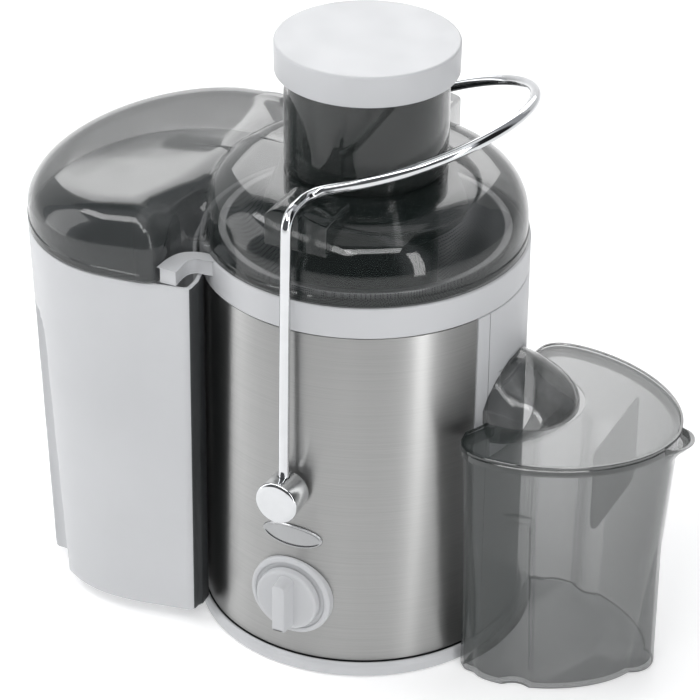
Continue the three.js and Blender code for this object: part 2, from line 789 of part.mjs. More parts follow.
function controlKnob() {
  const back = KNOB_PLATE_FRONT + GAP;
  const face = back + 4.5;
  const disc = rod(KNOB_R, -back, -face, 0, KNOB_Z, MID_ROUND);
  const stem = rod(KNOB_STEM_R, -BODY_INNER_R + 12, -back - 1, 0, KNOB_Z);
  const halfWidth = KNOB_GRIP_WIDTH / 2;
  const halfLength = KNOB_GRIP_LENGTH / 2;
  const grip = new THREE.Shape();
  grip.moveTo(-halfWidth, -halfLength + 1);
  grip.lineTo(-halfWidth + 1, -halfLength);
  grip.lineTo(halfWidth - 1, -halfLength);
  grip.lineTo(halfWidth, -halfLength + 1);
  grip.lineTo(halfWidth, halfLength - 4);
  grip.quadraticCurveTo(halfWidth, halfLength, 0, halfLength);
  grip.quadraticCurveTo(-halfWidth, halfLength, -halfWidth, halfLength - 4);
  grip.closePath();
  const depth = KNOB_GRIP_REACH + 1;
  const geometry = new THREE.ExtrudeGeometry(grip, { depth, bevelEnabled: false, curveSegments: 6 });
  geometry.rotateX(Math.PI / 2);
  geometry.translate(0, -face + 1, KNOB_Z);
  return union([disc, stem, toSolid(geometry)]);
}

function badge() {
  const shape = new THREE.Shape();
  shape.absellipse(0, 0, BADGE_HALF_WIDTH, BADGE_HALF_HEIGHT, 0, 2 * Math.PI, false);
  const settings = { depth: 20, bevelEnabled: false, curveSegments: 16 };
  const geometry = new THREE.ExtrudeGeometry(shape, settings);
  geometry.rotateX(Math.PI / 2);
  geometry.translate(0, -PANEL_R + 12, BADGE_Z);
  const low = BADGE_Z - 2 * BADGE_HALF_HEIGHT;
  const high = BADGE_Z + 2 * BADGE_HALF_HEIGHT;
  return toSolid(geometry).intersect(tube(PANEL_R + 3 * GAP, PANEL_R + 2, low, high, ROUND));
}

function rotarySwitch() {
  const near = BODY_INNER_R - 3;
  const body = block(-14, 14, -near, -near + 16, KNOB_Z - 14, KNOB_Z + 14);
  return body.subtract(rod(KNOB_STEM_R + RUN, -near - 1, -near + 12, 0, KNOB_Z));
}

function safetySwitch() {
  return block(10, 28, -BODY_INNER_R + 8, -BODY_INNER_R + 16, PIVOT_Z - 5, PIVOT_Z + 5);
}

function cordGrommet() {
  const inner = BODY_INNER_R - 3;
  const collar = rod(GROMMET_R, inner, BODY_R + 2.5, 0, GROMMET_Z);
  const flange = rod(GROMMET_R + 2.5, BODY_R + 1, BODY_R + 3, 0, GROMMET_Z);
  return collar.add(flange).subtract(rod(3.6, inner - 1, BODY_R + 4, 0, GROMMET_Z));
}

// ---------------------------------------------------------------- pulp container

function binHalf() {
  const path = new THREE.Path();
  const arcEnd = 44.4 * RAD;
  const a = END_REACH - BIN_END_CENTRE;
  path.absarc(0, 0, BIN_INNER_R, Math.PI, Math.PI + arcEnd, false);
  path.lineTo(-62.4, -76);
  path.lineTo(-62.2, -82);
  path.quadraticCurveTo(-62.2, -87, -67, -88);
  path.lineTo(-88, -92.4);
  path.quadraticCurveTo(-101, -BIN_HALF_WIDTH, -BIN_END_CENTRE, -BIN_HALF_WIDTH);
  path.absellipse(-BIN_END_CENTRE, 0, a, BIN_HALF_WIDTH, -Math.PI / 2, -Math.PI, true);
  return pathPoints(path, 6);
}

function binLoop(z, inset) {
  const share = 1 - (z - BIN_BOTTOM) / (BIN_TOP - BIN_BOTTOM);
  const loop = mirroredLoop(binHalf());
  const drafted = draftLoop(loop, -BIN_END_CENTRE, BIN_DRAFT * share, BIN_INNER_R);
  return atHeight(insetLoop(drafted, inset), z);
}

// a leaning finger groove on the container's outer end, with a round top
function fingerGroove(side, extra) {
  const low = new THREE.Vector3(-165.3, side * 73.2, BIN_BOTTOM - 8);
  const high = new THREE.Vector3(-174.3, side * 71.4, GROOVE_TOP);
  const along = high.clone().sub(low);
  const shaft = new THREE.CylinderGeometry(GROOVE_R + extra, GROOVE_R + extra, along.length(), MID_ROUND);
  const turn = new THREE.Quaternion().setFromUnitVectors(new THREE.Vector3(0, 1, 0), along.clone().normalize());
  shaft.applyQuaternion(turn);
  const middle = low.clone().add(high).multiplyScalar(0.5);
  shaft.translate(middle.x, middle.y, middle.z);
  const end = new THREE.SphereGeometry(GROOVE_R + extra, SMALL_ROUND, SMALL_ROUND / 2);
  end.translate(high.x, high.y, high.z);
  return toSolid(shaft).add(toSolid(end));
}

function pulpContainer() {
  const outer = loft([binLoop(BIN_BOTTOM, 2), binLoop(BIN_BOTTOM + 2, 0), binLoop(BIN_TOP, 0)]);
  const inner = loft([
    binLoop(BIN_BOTTOM + BIN_WALL, BIN_WALL + 1),
    binLoop(BIN_BOTTOM + BIN_WALL + 2, BIN_WALL),
    binLoop(BIN_TOP + 1, BIN_WALL),
  ]);
  const cavity = cut(inner, [fingerGroove(-1, BIN_WALL), fingerGroove(1, BIN_WALL)]);
  return cut(outer, [fingerGroove(-1, 0), fingerGroove(1, 0), cavity]);
}

// ---------------------------------------------------------------- juice jug

const JUG_CENTRE = 125;

function jugHalf() {
  const path = new THREE.Path();
  const arcEnd = 29.3 * RAD;
  path.moveTo(JUG_NOSE, 0);
  path.bezierCurveTo(JUG_NOSE - 2, -40, 140, -JUG_HALF_WIDTH, 104, -JUG_HALF_WIDTH);
  path.quadraticCurveTo(84, -JUG_HALF_WIDTH, 83, -52);
  const corner = new THREE.Vector2(JUG_INNER_R * Math.cos(arcEnd), -JUG_INNER_R * Math.sin(arcEnd));
  path.lineTo(corner.x, corner.y);
  path.absarc(0, 0, JUG_INNER_R, -arcEnd, 0, false);
  return pathPoints(path, 6);
}

function jugLoop(z, inset) {
  const share = 1 - z / JUG_RIM;
  const drafted = draftLoop(mirroredLoop(jugHalf()), JUG_CENTRE, JUG_DRAFT * share, JUG_INNER_R);
  return atHeight(insetLoop(drafted, inset), z);
}

// a leaning half-round finger channel down each side of the jug
function jugGrip(side, extra) {
  const lean = JUG_DRAFT / JUG_RIM;
  const y = JUG_HALF_WIDTH - JUG_DRAFT + JUG_GRIP_R - 6.5;
  const low = -10;
  const geometry = new THREE.CylinderGeometry(
    JUG_GRIP_R + extra,
    JUG_GRIP_R + extra,
    JUG_GRIP_TOP + extra - low,
    MID_ROUND,
  );
  geometry.rotateX(Math.PI / 2);
  geometry.translate(0, 0, (JUG_GRIP_TOP + extra + low) / 2);
  const shear = new THREE.Matrix4().set(1, 0, 0, 0, 0, 1, side * lean, 0, 0, 0, 1, 0, 0, 0, 0, 1);
  geometry.applyMatrix4(shear);
  geometry.translate(JUG_CENTRE - 4, side * y, 0);
  return toSolid(geometry);
}

function jugLip(inset) {
  const radius = JUG_LIP_R - inset;
  const x = END_REACH - JUG_LIP_R;
  const lift = inset > 0 ? 1 : 0;
  return post(1.5, JUG_RIM - JUG_LIP_DEPTH + inset, JUG_RIM + lift, x, 0, MID_ROUND, radius);
}

function juiceJug() {
  const floor = 2.5;
  const grips = [jugGrip(-1, 0), jugGrip(1, 0)];
  const innerGrips = [jugGrip(-1, JUG_WALL), jugGrip(1, JUG_WALL)];
  const outer = loft([jugLoop(0, 1.5), jugLoop(1.5, 0), jugLoop(JUG_RIM, 0)]);
  const inner = loft([jugLoop(floor, JUG_WALL + 1), jugLoop(floor + 2, JUG_WALL), jugLoop(JUG_RIM + 1, JUG_WALL)]);
  const notch = block(
    JUG_INNER_R - 20,
    JUG_INNER_R + 14,
    -SPOUT_HALF_WIDTH - 3.5,
    SPOUT_HALF_WIDTH + 3.5,
    SPOUT_EDGE - SPOUT_DROP - 4,
    JUG_RIM + 1,
  );
  const walls = cut(outer.add(jugLip(0)), grips);
  const cavity = cut(inner, innerGrips).add(jugLip(JUG_WALL));
  return walls.subtract(cavity).subtract(notch);
}

function jugLid() {
  const low = JUG_RIM + GAP;
  const plate = loft([jugLoop(JUG_RIM, 0), jugLoop(JUG_RIM, 0)].map((loop, i) => raise(loop, low + i * JUG_LID_THICK)));
  const lipOuter = raise(jugLoop(JUG_RIM, JUG_WALL + RUN), low - 5);
  const lipInner = raise(jugLoop(JUG_RIM, JUG_WALL + RUN + 1.6), low - 6);
  const skirt = loft([lipOuter, raise(lipOuter, low + 0.5)]).subtract(loft([lipInner, raise(lipInner, low + 2)]));
  const openLoop = spoutLoop(SPOUT_NOSE + 3, SPOUT_HALF_WIDTH + 3, 0);
  const opening = loft([atHeight(openLoop, low - 10), atHeight(openLoop, low + 10)]);
  return cut(plate.add(skirt), [opening]);
}

function raise(loop, z) {
  return loop.map((point) => new THREE.Vector3(point.x, point.y, z));
}

function foamSeparator() {
  const top = JUG_RIM;
  const depth = 52;
  const half = 32;
  const shape = new THREE.Shape();
  shape.moveTo(-half, top);
  shape.lineTo(-half, top - depth + 10);
  shape.quadraticCurveTo(-half, top - depth, -half + 10, top - depth);
  shape.lineTo(half - 10, top - depth);
  shape.quadraticCurveTo(half, top - depth, half, top - depth + 10);
  shape.lineTo(half, top);
  shape.closePath();
  const geometry = new THREE.ExtrudeGeometry(shape, { depth: 1.8, bevelEnabled: false, curveSegments: 6 });
  geometry.rotateX(Math.PI / 2);
  geometry.rotateZ(Math.PI / 2);
  geometry.translate(150, 0, 0);
  return toSolid(geometry);
}

// ---------------------------------------------------------------- filter basket and drive

function filterBasket() {
  const floorThick = 2;
  const rimLow = BASKET_RIM_TOP - 3.5;
  const wallTopR = BASKET_RIM_R - 3;
  return revolve([
    [SHAFT_R + RUN, BASKET_FLOOR],
    [BASKET_FLOOR_R, BASKET_FLOOR],
    [wallTopR, rimLow],
    [BASKET_RIM_R, rimLow],
    [BASKET_RIM_R, BASKET_RIM_TOP],
    [wallTopR - 1.4, BASKET_RIM_TOP],
    [BASKET_FLOOR_R - 1, BASKET_FLOOR + floorThick],
    [SHAFT_R + RUN, BASKET_FLOOR + floorThick],
  ]);
}

function graterDisc() {
  const low = BASKET_FLOOR + 2 + GAP;
  const high = low + 1.2;
  const disc = tube(SHAFT_R + RUN, GRATER_R - 2.5, low, high, ROUND);
  const teeth = [];
  for (let ring = 0; ring < 2; ring += 1) {
    const radius = 20 + ring * 16;
    const count = 6 + ring * 6;
    for (let i = 0; i < count; i += 1) {
      const turn = ((i + ring * 0.5) / count) * 2 * Math.PI;
      teeth.push(post(1.2, high - 0.5, high + 1.6, radius * Math.cos(turn), radius * Math.sin(turn), 3, 0.2));
    }
  }
  return union([disc, ...teeth]);
}

function driveCoupling() {
  const low = DECK_TOP + 6;
  const high = BASKET_FLOOR - GAP;
  const core = post(HUB_R - 4 - RUN, low, high, 0, 0, 12);
  return core.subtract(post(SHAFT_R + GAP, low - 1, high + 1));
}

const SHAFT_LOW = 22;

function motorShaft() {
  return post(SHAFT_R, SHAFT_LOW, BASKET_FLOOR + 2);
}

function armature() {
  const bore = SHAFT_R + GAP;
  return revolve(
    [
      [bore, STATOR_LOW - 8],
      [ARMATURE_R - 5, STATOR_LOW - 8],
      [ARMATURE_R - 3, STATOR_LOW - 2],
      [ARMATURE_R, STATOR_LOW],
      [ARMATURE_R, STATOR_HIGH],
      [ARMATURE_R - 3, STATOR_HIGH + 2],
      [ARMATURE_R - 5, STATOR_HIGH + 8],
      [bore, STATOR_HIGH + 8],
    ],
    SMALL_ROUND,
  );
}

function commutator() {
  return tube(SHAFT_R + GAP, 11, STATOR_LOW - 26, STATOR_LOW - 10, SMALL_ROUND);
}

const FAN_LOW = STATOR_HIGH + 12;
const FAN_HIGH = FAN_LOW + 12;
const FAN_R = 32;

function coolingFan() {
  const disc = tube(SHAFT_R + GAP, FAN_R, FAN_LOW, FAN_LOW + 2, SMALL_ROUND);
  const hub = tube(SHAFT_R + GAP, 9, FAN_LOW, FAN_HIGH, SMALL_ROUND);
  const blades = [];
  for (let i = 0; i < 9; i += 1) {
    const geometry = new THREE.BoxGeometry(22, 1.6, FAN_HIGH - FAN_LOW - 2);
    geometry.translate(18, 0, (FAN_LOW + 1 + FAN_HIGH) / 2);
    geometry.rotateZ((i / 9) * 2 * Math.PI);
    blades.push(toSolid(geometry));
  }
  return union([disc, hub, ...blades]);
}

// ---------------------------------------------------------------- motor, fixed pieces

const SLOT_X = 21;
const SLOT_LENGTH = 7;
const COIL_INNER_Y = 11;
const COIL_WIDTH = 5;

function motorStator() {
  const outer = block(-STATOR_HALF_X, STATOR_HALF_X, -STATOR_HALF_Y, STATOR_HALF_Y, STATOR_LOW, STATOR_HIGH);
  const bore = post(ARMATURE_R + AIR_GAP, STATOR_LOW - 1, STATOR_HIGH + 1, 0, 0, MID_ROUND);
  const slots = [];
  for (const sx of [-1, 1]) {
    for (const sy of [-1, 1]) {
      const near = COIL_INNER_Y - GAP;
      const far = COIL_INNER_Y + COIL_WIDTH + GAP;
      const lowX = Math.min(sx * (SLOT_X - GAP), sx * (SLOT_X + SLOT_LENGTH + GAP));
      const lowY = Math.min(sy * near, sy * far);
      const width = SLOT_LENGTH + 2 * GAP;
      const depth = far - near;
      slots.push(block(lowX, lowX + width, lowY, lowY + depth, STATOR_LOW - 1, STATOR_HIGH + 1));
    }
  }
  return cut(outer, [bore, ...slots]);
}

function fieldCoil(side) {
  const outerY = COIL_INNER_Y + COIL_WIDTH;
  const lowX = Math.min(side * SLOT_X, side * (SLOT_X + SLOT_LENGTH));
  const highX = lowX + SLOT_LENGTH;
  const outer = block(lowX, highX, -outerY, outerY, STATOR_LOW - 6, STATOR_HIGH + 6);
  const inner = block(lowX - 1, highX + 1, -COIL_INNER_Y, COIL_INNER_Y, STATOR_LOW - GAP, STATOR_HIGH + GAP);
  return outer.subtract(inner);
}

const BRACKET_HALF = 42;
const BOLT_X = 36;
const BOLT_R = 2.2;
const BEARING_R = 9.5;
const UPPER_BRACKET_LOW = FAN_HIGH + 6;
const LOWER_BRACKET_LOW = 28;
const BRACKET_THICK = 7;

function motorBracket(low) {
  const plate = block(-BRACKET_HALF, BRACKET_HALF, -12, 12, low, low + BRACKET_THICK);
  return cut(plate, [
    post(BEARING_R + GAP, low - 1, low + BRACKET_THICK + 1),
    post(BOLT_R + GAP, low - 1, low + BRACKET_THICK + 1, BOLT_X, 0),
    post(BOLT_R + GAP, low - 1, low + BRACKET_THICK + 1, -BOLT_X, 0),
  ]);
}

function bearing(low) {
  return tube(SHAFT_R + GAP, BEARING_R, low, low + BRACKET_THICK, SMALL_ROUND);
}

function motorBolt(side) {
  const high = UPPER_BRACKET_LOW + BRACKET_THICK;
  const stem = post(BOLT_R, LOWER_BRACKET_LOW - 1, high + 3, side * BOLT_X, 0, 16);
  const head = post(4, LOWER_BRACKET_LOW - 4, LOWER_BRACKET_LOW - GAP, side * BOLT_X, 0, 6);
  return stem.add(head);
}

function mountDamper([sx, sy]) {
  const low = UPPER_BRACKET_LOW + BRACKET_THICK + GAP;
  const high = DECK_TOP - DECK_THICK - GAP;
  return post(4, low, high, sx * 27, sy * 7);
}

function brushHolder(side) {
  const near = 11 + AIR_GAP;
  const far = near + 18;
  const low = Math.min(side * near, side * far);
  const high = Math.max(side * near, side * far);
  return block(-4.5, 4.5, low, high, STATOR_LOW - 23, STATOR_LOW - 13);
}

function deckSeal() {
  return tube(28, 31, DECK_TOP + GAP, DECK_TOP + 7, MID_ROUND);
}

// ---------------------------------------------------------------- the assembly

const group = new THREE.Group();
group.name = 'centrifugal_juicer';

function place(name, solid, material) {
  const mesh = new THREE.Mesh(toGeometry(solid), material);
  mesh.name = name;
  group.add(mesh);
}

function placeEach(name, places, make, material) {
  places.forEach((spot, i) => place(`${name}_${i + 1}`, make(spot), material));
}

place('main_housing', mainHousing(), greyPlastic);
place('steel_panel', steelPanel(), brushedSteel);
place('base_ring', baseRing(), greyPlastic);
place('bottom_plate', bottomPlate(), darkPlastic);
placeEach('foot', footPlaces(), foot, rubber);
placeEach('bottom_screw', screwPlaces(), bottomScrew, steel);
place('juice_bowl', juiceBowl(), greyPlastic);
place('deck_seal', deckSeal(), rubber);
place('spout', spout(), smoke);
place('pivot_bush_front', pivotBush(-1), greyPlastic);
place('pivot_bush_back', pivotBush(1), greyPlastic);
place('pivot_pin_front', pivotPin(-1), steel);
place('pivot_pin_back', pivotPin(1), steel);
place('switch_plate', switchPlate(), greyPlastic);
place('badge', badge(), chrome);
place('rotary_switch', rotarySwitch(), darkPlastic);
place('safety_switch', safetySwitch(), darkPlastic);
place('cord_grommet', cordGrommet(), rubber);
place('lid', lid(), smoke);

place('motor_stator', motorStator(), laminations);
place('field_coil_right', fieldCoil(1), copper);
place('field_coil_left', fieldCoil(-1), copper);
place('motor_bracket_upper', motorBracket(UPPER_BRACKET_LOW), steel);
place('motor_bracket_lower', motorBracket(LOWER_BRACKET_LOW), steel);
place('bearing_upper', bearing(UPPER_BRACKET_LOW), bronze);
place('bearing_lower', bearing(LOWER_BRACKET_LOW), bronze);
place('motor_bolt_right', motorBolt(1), steel);
place('motor_bolt_left', motorBolt(-1), steel);
const DAMPER_PLACES = [
  [1, 1],
  [1, -1],
  [-1, 1],
  [-1, -1],
];
placeEach('mount_damper', DAMPER_PLACES, mountDamper, rubber);
place('brush_holder_front', brushHolder(-1), bronze);
place('brush_holder_back', brushHolder(1), bronze);

place('motor_shaft', motorShaft(), steel);
place('armature', armature(), laminations);
place('commutator', commutator(), copper);
place('cooling_fan', coolingFan(), darkPlastic);
place('drive_coupling', driveCoupling(), darkPlastic);
place('filter_basket', filterBasket(), steel);
place('grater_disc', graterDisc(), steel);

place('control_knob', controlKnob(), greyPlastic);
place('locking_arm', lockingArm(), chrome);
place('arm_knob_front', armKnob(-1), chrome);
place('arm_knob_back', armKnob(1), chrome);
place('pusher_body', pusherBody(), darkPlastic);
place('pusher_cap', pusherCap(), greyPlastic);
place('pulp_container', pulpContainer(), greyPlastic);
place('juice_jug', juiceJug(), clearSmoke);
place('jug_lid', jugLid(), clearSmoke);
place('foam_separator', foamSeparator(), clearSmoke);

export default group;
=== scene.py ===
"""Looks of a centrifugal juicer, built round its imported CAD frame.

Sizes are in millimetres, except that the stage, lights and camera are placed in metres.
"""

import json
import math

import bmesh
import bpy
from mathutils import Matrix, Vector


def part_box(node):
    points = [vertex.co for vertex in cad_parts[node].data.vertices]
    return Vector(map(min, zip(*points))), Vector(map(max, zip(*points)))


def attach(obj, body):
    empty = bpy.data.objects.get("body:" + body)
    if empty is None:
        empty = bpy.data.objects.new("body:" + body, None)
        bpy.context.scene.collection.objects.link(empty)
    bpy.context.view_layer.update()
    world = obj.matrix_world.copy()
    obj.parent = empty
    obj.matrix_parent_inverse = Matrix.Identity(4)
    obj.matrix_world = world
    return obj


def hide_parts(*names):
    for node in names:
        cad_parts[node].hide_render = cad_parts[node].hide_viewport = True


MM = 0.001
TAU = 2 * math.pi

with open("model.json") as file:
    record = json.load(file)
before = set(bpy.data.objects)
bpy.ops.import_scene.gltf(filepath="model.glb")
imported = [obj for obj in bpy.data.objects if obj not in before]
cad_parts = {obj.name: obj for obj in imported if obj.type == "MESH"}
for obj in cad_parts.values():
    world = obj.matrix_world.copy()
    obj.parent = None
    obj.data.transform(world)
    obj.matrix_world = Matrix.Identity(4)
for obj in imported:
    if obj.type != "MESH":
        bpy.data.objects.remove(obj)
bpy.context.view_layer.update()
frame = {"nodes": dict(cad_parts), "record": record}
nodes = frame["nodes"]


def extent(node):
    """Lowest and highest corner of a CAD node, in millimetres."""
    low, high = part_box(node)
    return Vector(low) / MM, Vector(high) / MM


# ---------------------------------------------------------------- sizes read from the frame

housing_low, housing_high = extent("main_housing")
panel_low, panel_high = extent("steel_panel")
ring_low, ring_high = extent("base_ring")
bowl_high = extent("juice_bowl")[1]
lid_low, lid_high = extent("lid")
bin_low, bin_high = extent("pulp_container")
jug_high = extent("juice_jug")[1]
spout_low, spout_high = extent("spout")
cap_low, cap_high = extent("pusher_cap")
pusher_low, pusher_high = extent("pusher_body")
arm_high = extent("locking_arm")[1]
arm_knob_low, arm_knob_high = extent("arm_knob_front")
knob_low, knob_high = extent("control_knob")
plate_low, plate_high = extent("switch_plate")
badge_low, badge_high = extent("badge")
basket_low, basket_high = extent("filter_basket")

GAP = 0.3

BODY_R = housing_high.x
PANEL_R = -panel_low.y
RING_R = ring_high.x
LID_R = lid_high.x
BOWL_TOP = bowl_high.z
COLLAR_LOW = housing_high.z + GAP
BIN_R = BODY_R + 1.5
END_X = lid_low.x
BIN_CENTRE = -115.0
BIN_HALF = bin_high.y
HOOD_FOOT = bin_high.z + 0.7
PIVOT_Z = (arm_knob_low.z + arm_knob_high.z) / 2
KNOB_Z = (knob_low.z + knob_high.z) / 2
BADGE_Z = (badge_low.z + badge_high.z) / 2
WIRE_R = 3.0
LEG_Y = 99.0

WALL = 2.4
DRUM_WALL_TOP = 245.0
DRUM_FILLET = 30.0
DRUM_TOP = DRUM_WALL_TOP + DRUM_FILLET
HOOD_WALL_TOP = 231.0
HOOD_FILLET = 20.0
TUBE_R = 44.4
TUBE_TOP = lid_high.z
TUBE_BOTTOM = lid_low.z
BORE_R = 37.5


# ---------------------------------------------------------------- node materials


class Recipe:
    """A material's node tree with short ways to add and join nodes."""

    def __init__(self, name):
        self.material = bpy.data.materials.new(name)
        self.material.use_nodes = True
        self.tree = self.material.node_tree
        self.shader = self.tree.nodes["Principled BSDF"]
        self.place = self.add("ShaderNodeTexCoord").outputs["Object"]

    def add(self, kind, **settings):
        node = self.tree.nodes.new(kind)
        for key, value in settings.items():
            setattr(node, key, value)
        return node

    def join(self, output, target):
        self.tree.links.new(output, target)

    def noise(self, scale, detail=3.0, stretch=(1, 1, 1), roughness=0.5):
        """Noise over the object's own coordinates, its scale in features per metre."""
        mapping = self.add("ShaderNodeMapping")
        mapping.inputs["Scale"].default_value = stretch
        self.join(self.place, mapping.inputs["Vector"])
        noise = self.add("ShaderNodeTexNoise")
        noise.inputs["Scale"].default_value = scale
        noise.inputs["Detail"].default_value = detail
        noise.inputs["Roughness"].default_value = roughness
        self.join(mapping.outputs["Vector"], noise.inputs["Vector"])
        return noise.outputs["Fac"]

    def spread(self, factor, low, high, at_low=0.3, at_high=0.7):
        ramp = self.add("ShaderNodeMapRange")
        ramp.inputs["From Min"].default_value = at_low
        ramp.inputs["From Max"].default_value = at_high
        ramp.inputs["To Min"].default_value = low
        ramp.inputs["To Max"].default_value = high
        self.join(factor, ramp.inputs["Value"])
        return ramp.outputs["Result"]

    def tint(self, factor, dark, light):
        mix = self.add("ShaderNodeMix", data_type="RGBA")
        mix.inputs["A"].default_value = (*dark, 1)
        mix.inputs["B"].default_value = (*light, 1)
        self.join(factor, mix.inputs["Factor"])
        self.join(mix.outputs["Result"], self.shader.inputs["Base Color"])

    def bump(self, height, distance, strength=1.0):
        bump = self.add("ShaderNodeBump")
        bump.inputs["Distance"].default_value = distance * MM
        bump.inputs["Strength"].default_value = strength
        self.join(height, bump.inputs["Height"])
        self.join(bump.outputs["Normal"], self.shader.inputs["Normal"])

    def set(self, **values):
        for key, value in values.items():
            self.shader.inputs[key.replace("_", " ")].default_value = value


def plastic(name, dark, light, roughness, texture=0.02):
    """Moulded plastic: faint flow marks in its colour, a fine grain and uneven gloss."""
    made = Recipe(name)
    made.tint(made.spread(made.noise(9, 4), 0, 1), dark, light)
    gloss = made.spread(made.noise(60, 3), roughness - 0.05, roughness + 0.06)
    made.join(gloss, made.shader.inputs["Roughness"])
    made.bump(made.noise(1400, 2), texture, 0.35)
    made.set(Specular_IOR_Level=0.5)
    return made.material


def see_through(name, dark, light, alpha, roughness=0.035):
    """Clear smoke plastic: the tint gathers in its walls, with faint mould flow in the surface."""
    made = Recipe(name)
    made.tint(made.spread(made.noise(14, 3), 0, 1), dark, light)
    gloss = made.spread(made.noise(45, 3), roughness, roughness + 0.05)
    made.join(gloss, made.shader.inputs["Roughness"])
    made.bump(made.noise(26, 2), 0.35, 0.25)
    rim = made.add("ShaderNodeLayerWeight")
    rim.inputs["Blend"].default_value = 0.35
    cover = made.spread(rim.outputs["Facing"], alpha, min(alpha + 0.4, 0.97), 0.1, 0.95)
    made.join(cover, made.shader.inputs["Alpha"])
    made.set(IOR=1.5, Specular_IOR_Level=0.8, Coat_Weight=0.6, Coat_Roughness=0.04)
    made.material.surface_render_method = "BLENDED"
    return made.material


def brushed(name, dark, light, roughness, grain_x, grain_z, stretch=0.0):
    """Brushed metal: fine scratches in colour, gloss and relief, and highlights drawn out across them."""
    made = Recipe(name)
    lines = made.noise(1, 4, (grain_x, grain_x, grain_z), 0.6)
    made.tint(made.spread(lines, 0, 1, 0.25, 0.75), dark, light)
    made.join(made.spread(lines, roughness - 0.04, roughness + 0.05), made.shader.inputs["Roughness"])
    made.bump(lines, 0.004, 0.35)
    made.set(Metallic=1.0, Anisotropic=stretch, Anisotropic_Rotation=0.25)
    if stretch:
        tangent = made.add("ShaderNodeTangent", direction_type="RADIAL", axis="Z")
        made.join(tangent.outputs["Tangent"], made.shader.inputs["Tangent"])
    return made.material


def polished(name, colour, roughness):
    """Bright plate with a trace of polishing haze and finger marks."""
    made = Recipe(name)
    haze = made.noise(70, 4)
    made.tint(made.spread(haze, 0, 1), tuple(0.93 * c for c in colour), colour)
    made.join(made.spread(haze, roughness, roughness + 0.07, 0.35, 0.8), made.shader.inputs["Roughness"])
    made.bump(made.noise(500, 2), 0.004, 0.4)
    made.set(Metallic=1.0)
    return made.material


def mesh_steel():
    """Sheet steel etched with rows of fine holes."""
    made = Recipe("etched filter steel")
    cells = made.add("ShaderNodeTexVoronoi")
    cells.inputs["Scale"].default_value = 900
    cells.inputs["Randomness"].default_value = 0.15
    made.join(made.place, cells.inputs["Vector"])
    hole = made.spread(cells.outputs["Distance"], 0, 1, 0.28, 0.36)
    made.tint(hole, (0.06, 0.06, 0.06), (0.55, 0.55, 0.56))
    made.bump(hole, 0.1, 0.6)
    made.set(Metallic=1.0, Roughness=0.3)
    return made.material


GREY = plastic("light grey plastic", (0.54, 0.548, 0.56), (0.585, 0.592, 0.605), 0.36)
DARK = plastic("dark plastic", (0.03, 0.033, 0.035), (0.045, 0.048, 0.05), 0.5, 0.05)
SMOKE = see_through("smoke plastic", (0.012, 0.017, 0.016), (0.02, 0.027, 0.025), 0.33)
PUSHER_SMOKE = see_through("deep smoke plastic", (0.02, 0.026, 0.025), (0.035, 0.043, 0.041), 0.5)
JUG_SMOKE = see_through("light smoke plastic", (0.03, 0.037, 0.036), (0.05, 0.06, 0.058), 0.27)
JUG_LID_SMOKE = see_through("pale smoke plastic", (0.04, 0.05, 0.048), (0.06, 0.072, 0.07), 0.17)
EDGE_SMOKE = see_through("smoke plastic edge", (0.012, 0.016, 0.015), (0.02, 0.026, 0.025), 0.72)
STEEL = brushed("brushed steel sheet", (0.37, 0.37, 0.365), (0.46, 0.46, 0.452), 0.36, 14, 2200, 0.93)
SATIN = brushed("satin steel", (0.42, 0.42, 0.43), (0.6, 0.6, 0.61), 0.33, 300, 900)
CHROME = polished("chrome plate", (0.7, 0.71, 0.72), 0.05)
BADGE = polished("satin badge", (0.4, 0.405, 0.41), 0.22)
COPPER = brushed("copper alloy", (0.42, 0.2, 0.1), (0.6, 0.33, 0.17), 0.35, 900, 900)
RUBBER = plastic("black rubber", (0.012, 0.012, 0.012), (0.022, 0.022, 0.022), 0.75, 0.08)
MESH_STEEL = mesh_steel()


# ---------------------------------------------------------------- mesh work


def shape(name, points, faces, material):
    """An object from points in millimetres, with smooth shading that stops at sharp edges."""
    name = name.replace(" ", "_")
    mesh = bpy.data.meshes.new(name)
    mesh.from_pydata([tuple(c * MM for c in p) for p in points], [], faces)
    work = bmesh.new()
    work.from_mesh(mesh)
    bmesh.ops.remove_doubles(work, verts=work.verts, dist=0.0025 * MM)
    bmesh.ops.recalc_face_normals(work, faces=work.faces)
    work.to_mesh(mesh)
    work.free()
    mesh.materials.append(material)
    made = bpy.data.objects.new(name, mesh)
    bpy.context.scene.collection.objects.link(made)
    smooth(made)
    return made


def smooth(made, angle=32):
    for face in made.data.polygons:
        face.use_smooth = True
    made.data.set_sharp_from_angle(angle=math.radians(angle))


def finish_piece(made, body, finish, *replaced):
    """Says which body a piece rides on, and the CAD nodes that it stands for."""
    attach(made, body)
    if replaced:
        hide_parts(*replaced)
    return made


def rounded(outline, radius, steps=4, closed=True):
    """An outline with its corners rounded. A radius is one number or one for each corner."""
    count = len(outline)
    radii = radius if isinstance(radius, (list, tuple)) else [radius] * count
    points = [Vector(p) for p in outline]
    result = []
    for i, corner in enumerate(points):
        if not closed and i in (0, count - 1) or radii[i] == 0:
            result.append(corner)
            continue
        before = points[i - 1] - corner
        after = points[(i + 1) % count] - corner
        reach = min(radii[i], 0.49 * before.length, 0.49 * after.length)
        start = corner + before.normalized() * reach
        end = corner + after.normalized() * reach
        for step in range(steps + 1):
            t = step / steps
            result.append(start.lerp(corner, t).lerp(corner.lerp(end, t), t))
    return result


CENTRE = 0.001
AXIS = 0.002


